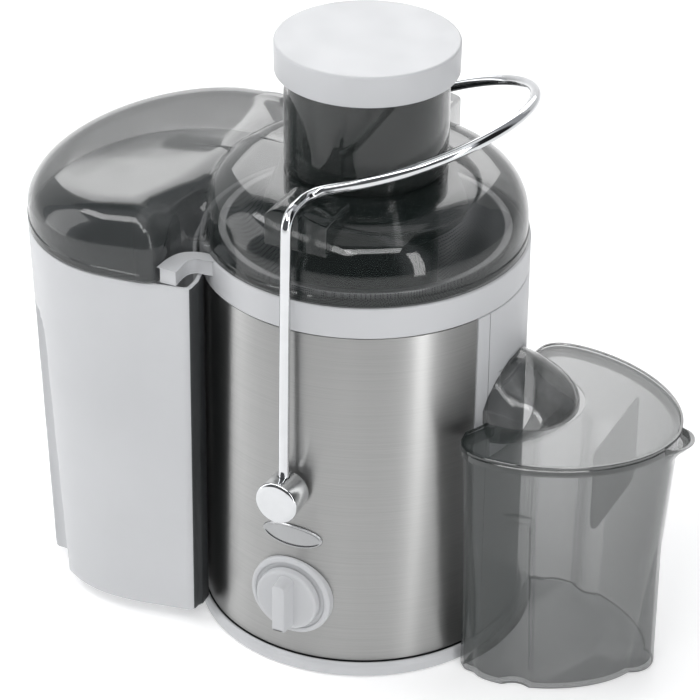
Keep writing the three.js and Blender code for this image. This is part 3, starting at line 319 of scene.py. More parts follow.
def lathe_data(outline, segments, start=0.0, sweep=TAU):
    """Points and faces of a closed [radius, height] outline turned about Z, its angles from -Y towards +X.

    Points at a radius of CENTRE count as on the axis, and those within AXIS of it get no faces between them.
    """
    full_turn = abs(sweep - TAU) < 1e-6
    rings = segments if full_turn else segments + 1
    count = len(outline)
    points = []
    for ring in range(rings):
        turn = start + sweep * ring / segments
        points += [(r * math.sin(turn), -r * math.cos(turn), z) for r, z in outline]
    faces = []
    for ring in range(segments):
        a, b = ring * count, ((ring + 1) % rings) * count
        for i in range(count):
            j = (i + 1) % count
            if outline[i][0] > AXIS or outline[j][0] > AXIS:
                faces.append((a + i, b + i, b + j, a + j))
    if not full_turn:
        faces.append(tuple(range(count)))
        faces.append(tuple(reversed(range((rings - 1) * count, rings * count))))
    return points, faces


def lathe(name, outline, material, segments=180, start=0.0, sweep=TAU):
    points, faces = lathe_data(outline, segments, start, sweep)
    return shape(name, points, faces, material)


def turned(name, outline, material, origin, direction, segments=72):
    """A closed [radius, along] outline turned about an axis through origin."""
    points, faces = lathe_data(outline, segments)
    tilt = Vector((0, 0, 1)).rotation_difference(Vector(direction))
    placed = [tuple(Vector(origin) + tilt @ Vector(p)) for p in points]
    return shape(name, placed, faces, material)


def loft_data(loops):
    """Points and faces through closed loops, with one face over the first and one over the last."""
    count = len(loops[0])
    points = [tuple(p) for loop in loops for p in loop]
    faces = []
    for level in range(len(loops) - 1):
        for i in range(count):
            j = (i + 1) % count
            a, b = level * count, (level + 1) * count
            faces.append((a + i, a + j, b + j, b + i))
    faces.append(tuple(reversed(range(count))))
    faces.append(tuple(range((len(loops) - 1) * count, len(loops) * count)))
    return points, faces


def loft(name, loops, material):
    points, faces = loft_data(loops)
    return shape(name, points, faces, material)


def hoop(name, loops, material):
    """A closed band through loops, with its last loop joined to its first."""
    count = len(loops[0])
    points = [tuple(p) for loop in loops for p in loop]
    faces = []
    for level in range(len(loops)):
        a, b = level * count, ((level + 1) % len(loops)) * count
        faces += [(a + i, a + (i + 1) % count, b + (i + 1) % count, b + i) for i in range(count)]
    return shape(name, points, faces, material)


def carve(made, cutter, operation="DIFFERENCE", tangled=False):
    """Cuts a solid from another and takes the cutter away."""
    modifier = made.modifiers.new("carve", "BOOLEAN")
    modifier.operation = operation
    modifier.object = cutter
    modifier.solver = "EXACT"
    modifier.use_self = tangled
    graph = bpy.context.evaluated_depsgraph_get()
    result = bpy.data.meshes.new_from_object(made.evaluated_get(graph))
    made.modifiers.clear()
    made.data = result
    bpy.data.objects.remove(cutter)
    smooth(made)
    return made


def deepen(made, material, chosen):
    """Gives some faces a darker material: thick moulded edges, or painted shade on a side deep in shadow."""
    made.data.materials.append(material)
    for face in made.data.polygons:
        if chosen(face.center / MM, face.normal):
            face.material_index = 1


def combine(*made):
    """Joins separate closed pieces of one material into one object."""
    work = bmesh.new()
    for piece in made:
        work.from_mesh(piece.data)
    mesh = bpy.data.meshes.new(made[0].name)
    work.to_mesh(mesh)
    work.free()
    mesh.materials.append(made[0].data.materials[0])
    made[0].data = mesh
    for piece in made[1:]:
        bpy.data.objects.remove(piece)
    smooth(made[0])
    return made[0]


def even(path, spacing):
    """Points about a spacing apart along a path of 2-D points, keeping its own points."""
    result = []
    for a, b in zip(path, path[1:]):
        pieces = max(1, round((b - a).length / spacing))
        result += [a.lerp(b, k / pieces) for k in range(pieces)]
    return result + [path[-1]]


def arc(centre, radius, start, end, steps):
    return [
        Vector((centre[0] + radius[0] * math.cos(t), centre[1] + radius[1] * math.sin(t)))
        for t in (start + (end - start) * k / steps for k in range(steps + 1))
    ]


def curve(a, b, c, steps=8):
    a, b, c = Vector(a), Vector(b), Vector(c)
    return [a.lerp(b, t).lerp(b.lerp(c, t), t) for t in (k / steps for k in range(1, steps + 1))]


def whole(half):
    """A half outline on the -Y side, from its +X end to its -X end, made whole and counter-clockwise."""
    back = [Vector((p.x, -p.y)) for p in half]
    return back + [p.copy() for p in reversed(half[1:-1])]


def inset(loop, distance):
    result = []
    count = len(loop)
    for i, point in enumerate(loop):
        arriving = (point - loop[i - 1]).normalized()
        leaving = (loop[(i + 1) % count] - point).normalized()
        inward = Vector((-arriving.y - leaving.y, arriving.x + leaving.x))
        result.append(point + inward * (distance / (1 + max(arriving.dot(leaving), 0))))
    return result


def unfolded(loop, outline, amount):
    """Draws the points that an inset has folded over back to the last clear one."""
    clear = []
    for i, point in enumerate(loop):
        arriving = point - loop[i - 1]
        leaving = loop[(i + 1) % len(loop)] - point
        far = distance_to(Vector((point.x, point.y)), outline) > amount - 0.1
        clear.append(far and arriving.dot(leaving) > 0)
    start = clear.index(True)
    last = loop[start]
    result = list(loop)
    for step in range(len(loop)):
        i = (start + step) % len(loop)
        if clear[i]:
            last = loop[i]
        result[i] = last.copy()
    return result


def at(loop, z):
    return [Vector((p.x, p.y, z)) for p in loop]


def cutter_cylinder(radius, low, high, segments=160):
    return lathe("cutter", [(CENTRE, low), (radius, low), (radius, high), (CENTRE, high)], DARK, segments)


def distance_to(point, loop):
    """How far a point is from a closed outline, negative outside it."""
    nearest = 1e9
    inside = False
    for i in range(len(loop)):
        a, b = loop[i - 1], loop[i]
        along = b - a
        t = max(0.0, min(1.0, (point - a).dot(along) / max(along.length_squared, 1e-9)))
        nearest = min(nearest, (point - a - along * t).length)
        if (a.y > point.y) != (b.y > point.y) and point.x < a.x + (point.y - a.y) / (b.y - a.y) * (b.x - a.x):
            inside = not inside
    return nearest if inside else -nearest


# ---------------------------------------------------------------- motor base

SHEET_END = math.radians(67)
SEAM = math.radians(67.35)
SHUT_LINE = math.radians(73.2)
DECK_LOW = 157
DECK_HIGH = 160
DECK_BORE_R = 20
OUTLET_HALF = 17.5
OUTLET_LOW = 164
OUTLET_HIGH = 175.5


def shell_outline(outer, inner, low, high, edge=1.2):
    return rounded([(inner, low), (outer, low), (outer, high), (inner, high)], [0.4, edge, edge, 0.4])


def motor_housing():
    low, high = housing_low.z, housing_high.z
    outline = shell_outline(BODY_R, BODY_R - 3.5, low, high)
    main = lathe("housing back", outline, GREY, 150, SHUT_LINE, TAU - 2 * SHUT_LINE)
    strip = SHUT_LINE - SEAM - math.radians(0.35)
    right = lathe("housing strip right", outline, GREY, 8, SEAM, strip)
    left = lathe("housing strip left", outline, GREY, 8, -SEAM - strip, strip)
    liner_outline = shell_outline(PANEL_R - 1.1, BODY_R - 3.8, low, high, 0.4)
    liner = lathe("housing liner", liner_outline, GREY, 180)
    edge = BODY_R - 3.9
    deck_outline = [(DECK_BORE_R, DECK_LOW), (edge, DECK_LOW), (edge, DECK_HIGH), (DECK_BORE_R, DECK_HIGH)]
    deck = lathe("housing deck", rounded(deck_outline, 0.5), GREY)
    near, far = (0, -OUTLET_HALF, OUTLET_LOW), (BODY_R + 3, OUTLET_HALF, OUTLET_HIGH)
    for piece in (main, liner):
        carve(piece, carved_block("outlet cutter", near, far, 2))
    body = combine(main, right, left, liner, deck)
    body.name = "motor_housing"
    return finish_piece(body, "base", "grey_plastic", "main_housing")


def carved_block(name, low, high, edge):
    """A block with rounded upright edges."""
    outline = rounded([(low[0], low[1]), (high[0], low[1]), (high[0], high[1]), (low[0], high[1])], edge)
    return loft(name, [at(outline, low[2]), at(outline, high[2])], GREY)


def steel_sheet():
    low, high = panel_low.z, panel_high.z
    outline = rounded(
        [(PANEL_R - 0.8, low), (PANEL_R, low), (PANEL_R, high), (PANEL_R - 0.8, high)],
        [0.15, 0.35, 0.35, 0.15],
        3,
    )
    sheet = lathe("steel panel", outline, STEEL, 160, -SHEET_END, 2 * SHEET_END)
    finish_piece(sheet, "base", "brushed_steel", "steel_panel")


def base_trim():
    low, high = ring_low.z, ring_high.z
    inner, sole = 85, low + 2.5
    outline = rounded(
        [(inner, low), (RING_R - 0.6, low), (RING_R, high - 2.2), (RING_R - 1.6, high), (BODY_R - 0.2, high),
         (BODY_R - 0.2, sole), (inner, sole)],
        [0.3, 1.4, 1.2, 0.9, 0.3, 0.3, 0.3],
    )
    ring = lathe("base ring", outline, GREY)
    finish_piece(ring, "base", "grey_plastic", "base_ring")


def foot_pads():
    for index in range(1, 5):
        low, high = extent(f"foot_{index}")
        centre = (low + high) / 2
        outline = rounded(
            [(CENTRE, low.z), (5.4, low.z), (6.2, low.z + 0.8), (6.2, low.z), (8, low.z), (8, low.z + 3.4),
             (4, low.z + 3.4), (4, high.z), (CENTRE, high.z)],
            [0, 0.3, 0.2, 0.3, 0.6, 0.3, 0.2, 0.4, 0],
        )
        outline = [(r, z - low.z) for r, z in outline]
        pad = turned(f"foot pad {index}", outline, RUBBER, (centre.x, centre.y, low.z), (0, 0, 1), 48)
        finish_piece(pad, "base", "rubber", f"foot_{index}")


# ---------------------------------------------------------------- juice bowl with its collar and wings


WING_OUTER = [(-58.8, -64), (-68.4, -65.3), (-75.5, -69.2), (-78.6, -77.6), (-79, -88)]
WING_INNER = [(-56, -69.2), (-62, -70), (-66.8, -70.4), (-69.8, -74), (-70.4, -80), (-69.6, -88)]


def wing(side):
    """The collar runs out past the waist and hooks round the container's corner."""
    outer, inner = (even(rounded(guide, 5, 6, closed=False), 1.5) for guide in (WING_OUTER, WING_INNER))
    outline = [Vector((p.x, p.y * -side)) for p in outer + list(reversed(inner))]
    low, high = HOOD_FOOT, BOWL_TOP
    levels = [(low, 0.25), (low + 0.4, 0), (high - 1.4, 0), (high - 0.45, 0.4), (high, 1.3)]
    if side < 0:
        outline.reverse()
    loops = [at(inset(outline, amount), z) for z, amount in levels]
    return loft(f"wing {side}", loops, GREY)


def bowl():
    floor_low, neck_top = 164, 181
    neck_inner, neck_outer = 22, 24.5
    outer, inner = BODY_R - 4.1, BODY_R - 6.9
    outline = rounded(
        [(neck_inner, floor_low + 4), (outer, floor_low), (outer, COLLAR_LOW), (BODY_R, COLLAR_LOW),
         (BODY_R, BOWL_TOP), (BODY_R - 3.6, BOWL_TOP), (inner, BOWL_TOP - 6), (inner, floor_low + 3),
         (neck_outer, floor_low + 6), (neck_outer, neck_top), (neck_inner, neck_top)],
        [0.5, 3, 0.4, 1.0, 1.4, 0.8, 2, 3, 1.5, 0.6, 0.6],
    )
    ring = lathe("juice bowl", outline, GREY)
    trough_outer = carved_block("trough", (BODY_R - 9, -17, 164.5), (BODY_R - 1.2, 17, 175), 0.5)
    trough_inner = carved_block("trough bore", (BODY_R - 12, -15, 166.7), (BODY_R + 2, 15, 173.4), 0.5)
    carve(ring, trough_outer, "UNION")
    carve(ring, trough_inner)
    made = combine(ring, wing(-1), wing(1))
    finish_piece(made, "base", "grey_plastic", "juice_bowl")


# ---------------------------------------------------------------- lid

SHOULDER = -80.0
WAIST = math.radians(134)
CREASE = 2.2
BEAD_HEIGHT = 4.2
BEAD_STEP = 0.55
DEPTHS = [
    0, 0.15, 0.5, 1.1, 2, 3.2, 4.8, 6.8, 9.2, 12, 15.2, 18.8, 22.8, 27, 31.5, 36, 41, 47,
    54, 62, 72, 84, 94.4,
]
FULL_DEPTH = 95.5


def hood_end(corner_steps, end_steps):
    """The hood's outline from its front corner round to its far end."""
    reach = (BIN_CENTRE - END_X, BIN_HALF + 0.4)
    corner = curve((SHOULDER, -84), (SHOULDER, -93.4), (SHOULDER - 11, -94.4), corner_steps)
    return corner + arc((BIN_CENTRE, 0), reach, -math.pi / 2, -math.pi, end_steps)


def lid_half():
    half = arc((0, 0), (LID_R, LID_R), 0, -WAIST, 90)
    half += curve(half[-1], (SHOULDER, -63.2), (SHOULDER, -74), 10)
    half += [Vector((SHOULDER, -84))]
    half += hood_end(10, 60)
    return even(half, 2.2)


def hood_outline(amount):
    """Where the hood's own wall and fillet run, on into the drum."""
    half = [Vector(p) for p in ((-64, 0), (-66, -30), (-69, -50), (-74, -63), (SHOULDER, -76))]
    half += hood_end(6, 40)
    return inset(whole(half), amount)


def share_of_way(x):
    """0 at the hood's far end and 1 at the drum's axis."""
    return max(0.0, min(1.0, (x - END_X) / -END_X))


def dome(depth, radius):
    """Height of a quarter-round fillet at a depth in from its wall."""
    if depth >= radius:
        return radius
    return math.sqrt(max(radius * radius - (radius - max(depth, 0)) ** 2, 0))


def lid_height(point, hood, amount):
    """The higher of the round drum and the sloping hood, with a soft crease between them."""
    way = share_of_way(point.x)
    wall_top = HOOD_WALL_TOP + (DRUM_WALL_TOP - HOOD_WALL_TOP) * way
    drum = over = wall_top - 1.0
    if point.length <= LID_R - amount + 0.01:
        drum = DRUM_WALL_TOP + dome(LID_R - amount - point.length, DRUM_FILLET - amount)
    inward = distance_to(point, hood)
    if inward >= -0.05:
        over = wall_top + dome(inward, HOOD_FILLET + (DRUM_FILLET - HOOD_FILLET) * way - amount)
    lift = max(CREASE - abs(drum - over), 0) ** 2 / (4 * CREASE)
    return max(drum, over) + lift


def lid_skin(amount):
    """Loops from the lid's lower edge up and in over its top. Only its outer side steps in over the bead."""
    step = BEAD_STEP if amount == 0 else 0
    base = inset(whole(lid_half()), amount + 0.001)
    hood = hood_outline(amount)
    low = [Vector((p.x, p.y, HOOD_FOOT if p.x < SHOULDER + 12 else BOWL_TOP + GAP)) for p in base]
    bead = [Vector((p.x, p.y, p.z + BEAD_HEIGHT)) for p in low]
    drawn = inset(base, step)
    above = [Vector((p.x, p.y, q.z + 0.5)) for p, q in zip(drawn, bead)]
    loops = [low, bead, above]
    for depth in DEPTHS:
        loop = []
        for p in drawn:
            spine = Vector((max(BIN_CENTRE, min(0.0, p.x)), 0))
            place = spine + (p - spine) * (1 - depth / FULL_DEPTH)
            loop.append(Vector((place.x, place.y, lid_height(place, hood, amount + step))))
        loops.append(loop)
    return loops


def lid_shell():
    made = loft("lid", list(reversed(lid_skin(WALL))) + lid_skin(0), SMOKE)
    return carve(made, cutter_cylinder(BORE_R + 2.2, 150, 300))


def feed_tube():
    wall = 2.5
    step = DRUM_TOP + wall
    outline = rounded(
        [(BORE_R, TUBE_BOTTOM), (BORE_R + wall, TUBE_BOTTOM), (BORE_R + wall, DRUM_TOP - WALL),
         (TUBE_R - 1.5, DRUM_TOP - 0.4), (TUBE_R, DRUM_TOP + 2.2), (TUBE_R, TUBE_TOP),
         (TUBE_R - wall, TUBE_TOP), (TUBE_R - wall, step), (BORE_R, step)],
        [0.6, 0.6, 1.5, 1.5, 1, 0.8, 0.8, 1.2, 0.8],
    )
    return lathe("feed tube", outline, SMOKE)


def inner_skirt():
    top, low = DRUM_TOP - WALL + 0.3, 250
    outline = [(BORE_R + 6.5, top), (BORE_R + 16.5, low), (BORE_R + 18.5, low), (BORE_R + 9, top)]
    return lathe("inner skirt", rounded(outline, 0.6), SMOKE)


def lug(side):
    """A ramped lug that the arm's cross wire closes over."""
    lug_top, root, half_w = DRUM_TOP + 7.7, DRUM_TOP - 14, 18
    profile = rounded(
        [(-half_w, root), (half_w, root), (half_w, lug_top - 3), (6, lug_top), (-13, lug_top),
         (-half_w, lug_top - 4)],
        [0.5, 0.5, 2, 4, 2.5, 2.5],
    )
    near, far = LID_R - DRUM_FILLET - 2, LID_R - 3
    levels = [(near, 0.8), (near + 0.8, 0), (far - 1.2, 0), (far - 0.3, 0.4), (far, 1.2)]
    loops = []
    for y, amount in levels:
        drawn = inset([Vector(p) for p in profile], amount)
        loops.append([Vector((p.x, side * y, p.y)) for p in drawn])
    made = loft(f"lug {side}", loops, SMOKE)
    inner_r, fillet = LID_R - WALL, DRUM_FILLET - WALL
    drum = [(CENTRE, 200), (inner_r, 200), (inner_r, DRUM_WALL_TOP)]
    for k in range(1, 13):
        turn = k / 12 * math.pi / 2
        drum.append((inner_r - fillet * (1 - math.cos(turn)), DRUM_WALL_TOP + fillet * math.sin(turn)))
    drum.append((CENTRE, DRUM_WALL_TOP + fillet))
    return carve(made, lathe("lug cutter", drum, SMOKE, 120))


def lid():
    made = combine(lid_shell(), feed_tube(), inner_skirt(), lug(-1), lug(1))
    finish_piece(made, "base", "smoke_plastic", "lid")


# ---------------------------------------------------------------- pusher


def pusher():
    radius, top, brim = cap_high.x, cap_high.z, cap_low.z
    cap_outline = rounded(
        [(CENTRE, top - WALL), (radius - WALL, top - WALL), (radius - WALL, brim), (radius - 0.3, brim),
         (radius, top), (radius - 3.5, top), (CENTRE, top - 0.4)],
        [0, 1, 0.4, 0.5, 2.6, 1, 0],
        6,
    )
    cap = lathe("pusher cap", cap_outline, GREY)
    finish_piece(cap, "pusher", "grey_plastic", "pusher_cap")
    low, high = pusher_low.z, pusher_high.z
    shoulder = DRUM_TOP + 3.1
    lower, upper, wall = BORE_R - 0.6, TUBE_R - 3.1, 2.2
    body_outline = rounded(
        [(CENTRE, low), (lower, low), (lower, shoulder), (upper, shoulder), (upper, high),
         (upper - wall, high), (upper - wall, shoulder + wall), (lower - wall, shoulder + wall),
         (lower - wall, low + wall), (CENTRE, low + wall)],
        [0, 3, 1, 1, 0.5, 0.5, 1, 1, 1, 0],
    )
    body = lathe("pusher body", body_outline, PUSHER_SMOKE)
    finish_piece(body, "pusher", "dark_plastic", "pusher_body")


# ---------------------------------------------------------------- locking arm


PIN_HOLE_R = 4.3


def arm_route():
    """Half of the arm's centre line, from the front knob up and round to the loop's tip."""
    rise = 0.41
    top = arm_high.z - WIRE_R - rise * (arm_high.x - WIRE_R)
    loop_r = 67.0
    loop_x = arm_high.x - WIRE_R - loop_r
    steps = 39
    guide = [
        (0, -LEG_Y, PIVOT_Z + 4.6), (0, -LEG_Y + 0.6, PIVOT_Z + 60), (0, -LEG_Y + 3, top),
        (0, -loop_r, top), (loop_x * 0.9, -loop_r, top + rise * loop_x * 0.9),
    ]
    route = rounded(guide, [0, 30, 11, 15, 0], 10, closed=False)
    for k in range(steps + 1):
        turn = -math.pi / 2 + (k / steps) * math.pi / 2
        x = loop_x + loop_r * math.cos(turn)
        route.append(Vector((x, loop_r * math.sin(turn), top + rise * x)))
    return route


def wire(name, points, radius, material, sides=20):
    """A round wire along a line of points."""
    rings = []
    across = Vector((1, 0, 0))
    for i, point in enumerate(points):
        along = (points[min(i + 1, len(points) - 1)] - points[max(i - 1, 0)]).normalized()
        across = (across - along * across.dot(along)).normalized()
        other = along.cross(across)
        ring = []
        for k in range(sides):
            turn = TAU * k / sides
            ring.append(point + (across * math.cos(turn) + other * math.sin(turn)) * radius)
        rings.append(ring)
    return loft(name, rings, material)


def locking_arm():
    half = arm_route()
    far = [Vector((p.x, -p.y, p.z)) for p in reversed(half[:-1])]
    made = wire("locking arm", half + far, WIRE_R, CHROME)
    finish_piece(made, "arm", "chrome", "locking_arm")
    radius = arm_knob_high.x
    length = arm_knob_high.y - arm_knob_low.y
    outline = rounded(
        [(PIN_HOLE_R, 0), (radius - 0.6, 0), (radius, length - 1), (radius - 2.2, length),
         (CENTRE, length - 0.35), (CENTRE, length - 5.6), (PIN_HOLE_R, length - 5.6)],
        [0.3, 0.7, 1.1, 1.2, 0, 0, 0.2],
        5,
    )
    hole = [(CENTRE, 0), (WIRE_R + GAP, 0), (WIRE_R + GAP, 20), (CENTRE, 20)]
    for side, node in ((-1, "arm_knob_front"), (1, "arm_knob_back")):
        foot = (0, side * (BODY_R + 2), PIVOT_Z)
        knob = turned(f"arm knob {side}", outline, CHROME, foot, (0, side, 0), 96)
        carve(knob, turned("socket", hole, CHROME, (0, side * LEG_Y, PIVOT_Z), (0, 0, 1), 32))
        finish_piece(knob, "arm", "chrome", node)


def pivot_bushes():
    bush_r, length = 6.4, 8.3
    outline = rounded([(PIN_HOLE_R, 0), (bush_r, 0), (bush_r, length), (PIN_HOLE_R, length)], 0.4)
    for side, node in ((-1, "pivot_bush_front"), (1, "pivot_bush_back")):
        start = (0, side * (BODY_R - 7.5), PIVOT_Z)
        bush = turned(f"pivot bush {side}", outline, GREY, start, (0, side, 0), 48)
        finish_piece(bush, "base", "grey_plastic", node)


# ---------------------------------------------------------------- control knob, its plate and the badge


def switch_plate():
    radius = plate_high.x
    front = -plate_low.y
    hole_r, back, sunk = 4.6, 78, front - 0.7
    outline = rounded(
        [(hole_r, back), (radius, back), (radius, front - 0.9), (radius - 1.5, front), (radius - 3, front),
         (radius - 3.6, sunk), (hole_r, sunk)],
        [0.2, 0.5, 0.8, 0.8, 0.3, 0.3, 0.3],
    )
    made = turned("switch plate", outline, GREY, (0, 0, KNOB_Z), (0, -1, 0), 128)
    carve(made, cutter_cylinder(PANEL_R + GAP, 0, 160, 256))
    finish_piece(made, "base", "grey_plastic", "switch_plate")


def control_knob():
    radius = knob_high.x
    back = -plate_low.y + GAP
    face = back + 4.5
    stem_r, stem_end = 4, 75
    outline = rounded(
        [(CENTRE, stem_end), (stem_r, stem_end), (stem_r, back), (radius, back), (radius - 0.3, face - 0.6),
         (radius - 1.6, face), (CENTRE, face)],
        [0, 0.3, 0.3, 0.5, 0.9, 0.9, 0],
        5,
    )
    disc = turned("control knob", outline, GREY, (0, 0, KNOB_Z), (0, -1, 0), 128)
    reach = -knob_low.y
    half_w, half_l = 4.5, 15.5
    corners = [(-half_w, -half_l), (half_w, -half_l), (half_w, half_l), (-half_w, half_l)]
    grip = rounded(corners, [1.4, 1.4, 4.4, 4.4], 7)
    levels = [(face - 1, -0.5), (face + 0.6, 0.0), (reach - 1.6, 0.5), (reach - 0.5, 0.9), (reach, 1.9)]
    loops = []
    for depth, amount in levels:
        loops.append([Vector((p.x, -depth, KNOB_Z + p.y)) for p in inset(grip, amount)])
    bar = loft("grip bar", loops, GREY)
    made = carve(disc, bar, "UNION")
    finish_piece(made, "knob", "grey_plastic", "control_knob")


def badge_loop(half_w, half_h, lift, steps=72):
    """An oval that lies a lift above the bent panel."""
    radius = PANEL_R + lift
    loop = []
    for k in range(steps):
        turn = TAU * k / steps
        x = half_w * math.cos(turn)
        z = half_h * math.sin(turn)
        loop.append(Vector((x, -math.sqrt(radius * radius - x * x), BADGE_Z + z)))
    return loop


def badge():
    """A blank oval plate with a raised rim, bent to the panel."""
    half_w, half_h = badge_high.x, badge_high.z - BADGE_Z
    rim, face = 2.4, 0.7
    levels = [(0.0, 0.2), (0.0, face), (0.35, 1.15), (1.1, 1.2), (1.9, 0.75), (rim, face)]
    loops = [badge_loop(half_w - amount, half_h - amount, lift) for amount, lift in levels]
    for scale in (0.75, 0.5, 0.25, 0.05):
        loops.append(badge_loop((half_w - rim) * scale, (half_h - rim) * scale, face))
    made = loft("badge", loops, BADGE)
    finish_piece(made, "base", "chrome", "badge")


# ---------------------------------------------------------------- pulp container


BIN_DRAFT = 8.0
GROOVE_R = 16.2
GROOVE_TOP = 162.0


def bin_half():
    arc_end = math.radians(44.4)
    half = arc((0, 0), (BIN_R, BIN_R), math.pi, math.pi + arc_end, 30)
    half += [Vector((-62.4, -76)), Vector((-62.2, -83.5))]
    half += curve((-62.2, -83.5), (-62.2, -87.3), (-66.2, -88.1), 8)
    half += [Vector((-88, -92.4))]
    half += curve((-88, -92.4), (-101, -BIN_HALF), (BIN_CENTRE, -BIN_HALF), 8)
    half += arc((BIN_CENTRE, 0), (BIN_CENTRE - END_X, BIN_HALF), -math.pi / 2, -math.pi, 70)[1:]
    return even(half, 1.6)


def drafted(loop, centre_x, amount, fixed_radius):
    """Draws a loop in towards its middle, but not where it fits round the drum."""
    centre = Vector((centre_x, 0))
    result = []
    for p in loop:
        share = max(0.0, min(1.0, (p.length - fixed_radius) / 12))
        result.append(p + (centre - p).normalized() * amount * share)
    return result


def pushed_out_of(point, centre, radius):
    """Moves a point that is inside a circle out onto it."""
    away = point - centre
    if away.length >= radius:
        return point
    return centre + away.normalized() * radius


def bin_loop(z, amount, wall=0.0):
    share = 1 - (z - bin_low.z) / (bin_high.z - bin_low.z)
    loop = inset(drafted(whole(bin_half()), BIN_CENTRE, BIN_DRAFT * share, BIN_R), amount)
    groove_r = GROOVE_R + wall
    if z > GROOVE_TOP:
        over = z - GROOVE_TOP
        groove_r = math.sqrt(max(groove_r * groove_r - over * over, 0))
    way = (z - bin_low.z + 8) / (GROOVE_TOP - bin_low.z + 8)
    for side in (-1, 1):
        centre = Vector((-165.3 - 9.0 * way, side * (73.2 - 1.8 * way)))
        loop = [pushed_out_of(p, centre, groove_r) for p in loop]
    return at(loop, z)


def in_shadow(place, facing):
    """The container's side faces towards the housing, below its rim, which get painted shade: they lie deep
    in shadow in the narrow gap.
    """
    return place.x > -75 and facing.x > 0.9 and 64.5 < abs(place.y) and place.z < bin_high.z - 1


def pulp_container():
    low, high = bin_low.z, bin_high.z
    foot, steps = 3.5, 60
    heights = [low + foot + k * (high - 1 - low - foot) / steps for k in range(steps + 1)]
    outer = [bin_loop(low, 1.1), bin_loop(low + 0.4, 0.4), bin_loop(low + 1.4, 0.1), bin_loop(low + foot, 0)]
    outer += [bin_loop(z, 0) for z in heights[1:]]
    outer += [bin_loop(high - 0.3, 0.25), bin_loop(high, 0.8)]
    wall = 2.2
    inner = [bin_loop(high, 1.5), bin_loop(high - 0.4, wall, wall)]
    inner += [bin_loop(z, wall, wall) for z in reversed(heights[1:-1])]
    outline = [Vector((p.x, p.y)) for p in bin_loop(low + wall, 0)]
    for z, amount in ((low + wall + 1, wall + 0.2), (low + wall, wall + 1)):
        inner.append(unfolded(bin_loop(z, amount, amount), outline, amount))
    made = loft("pulp container", outer + inner, GREY)
    # the dark plastic on the grey container's side facing the housing is painted shade
    deepen(made, DARK, in_shadow)
    finish_piece(made, "container", "grey_plastic", "pulp_container")


# ---------------------------------------------------------------- juice jug

JUG_R = 94.5
JUG_HALF = jug_high.y
JUG_NOSE = 186.0
JUG_RIM = jug_high.z
JUG_DRAFT = 11.2
JUG_CENTRE = 125.0
LIP_R = 13.0
LIP_DEPTH = 14.0
LIP_HEIGHT = 26
GRIP_R = 11.0
GRIP_DEPTH = 6.5
GRIP_TOP = 112.0


def jug_half():
    arc_end = math.radians(29.3)
    nose, half_w = JUG_NOSE, JUG_HALF
    a, b, c, d = Vector((nose, 0)), Vector((nose - 2, -40)), Vector((140, -half_w)), Vector((104, -half_w))
    half = []
    for k in range(41):
        t = k / 40
        half.append(a * (1 - t) ** 3 + b * 3 * t * (1 - t) ** 2 + c * 3 * t * t * (1 - t) + d * t ** 3)
    half += curve((104, -half_w), (84, -half_w), (83, -52), 14)
    corner = Vector((JUG_R * math.cos(arc_end), -JUG_R * math.sin(arc_end)))
    half += curve((83, -52), (82.2, -46.8), corner, 4)
    half += arc((0, 0), (JUG_R, JUG_R), -arc_end, 0, 30)[1:]
    return even(half, 1.6)


def jug_loop(z, amount, wall=0.0, lipped=True):
    share = 1 - z / JUG_RIM
    loop = inset(drafted(whole(jug_half()), JUG_CENTRE, JUG_DRAFT * share, JUG_R), amount)
    grip_r, grip_top = GRIP_R + wall, GRIP_TOP + wall
    if z > grip_top:
        grip_r = max(grip_r - 5 * (z - grip_top), 0)
    for side in (-1, 1):
        centre = Vector((JUG_CENTRE - 4, side * (JUG_HALF - JUG_DRAFT * share + GRIP_R - GRIP_DEPTH)))
        loop = [pushed_out_of(p, centre, grip_r) for p in loop]
    swell = max(0.0, min(1.0, (z - JUG_RIM + LIP_HEIGHT) / LIP_HEIGHT)) ** 1.6
    lip_x = jug_high.x - LIP_R - LIP_DEPTH * (1 - swell) - amount
    result = []
    for p in loop:
        edge = p.x
        if lipped and p.x > JUG_CENTRE and abs(p.y) < LIP_R:
            edge = max(edge, lip_x + math.sqrt(LIP_R * LIP_R - p.y * p.y))
        result.append(Vector((edge, p.y, z)))
    return result


def spout_notch():
    return carved_block("notch", (JUG_R - 20, -33.5, 130), (JUG_R + 14, 33.5, JUG_RIM + 4), 4)


def juice_jug():
    wall, body = 2.9, 1.1
    high = JUG_RIM
    foot, steps = 3.2, 46
    heights = [foot + k * (high - 5 - foot) / steps for k in range(steps + 1)]
    heights += [GRIP_TOP + step for step in (-0.6, 0.3, 1.0, 2.1, wall, wall + 1, wall + 2.1)]
    heights.sort()
    outer = [jug_loop(0, 2.4), jug_loop(0.4, 1.6), jug_loop(1.4, 1.2), jug_loop(foot, body)]
    outer += [jug_loop(z, body) for z in heights[1:]]
    outer += [jug_loop(high - 4.6, body), jug_loop(high - 4.0, 0)]
    outer += [jug_loop(high - 0.5, 0), jug_loop(high, 0.5)]
    inner = [jug_loop(high, wall - 0.6), jug_loop(high - 0.5, wall, wall)]
    inner += [jug_loop(z, wall, wall) for z in reversed(heights[1:])]
    for z, extra in ((3.6, 0.1), (2.9, 0.5), (2.5, 1.2)):
        inner.append(jug_loop(z, wall + extra, wall))
    made = loft("juice jug", outer + inner, JUG_SMOKE)
    carve(made, spout_notch())
    deepen(made, EDGE_SMOKE, lambda p, facing: p.z > high - 3.6 or p.z < 1.4 and facing.z > -0.9)
    finish_piece(made, "jug", "clear_smoke_plastic", "juice_jug")


def spout_loop(nose, half_width, steps=14):
    """Outline of the spout at one level, open-ended towards the housing."""
    length = min(half_width * 0.95, nose - 86)
    half = arc((nose - length, 0), (length, half_width), 0, -math.pi / 2, steps)
    half.append(Vector((70, -half_width)))
    back = [Vector((p.x, -p.y)) for p in half]
    return back + [p.copy() for p in reversed(half[1:])]


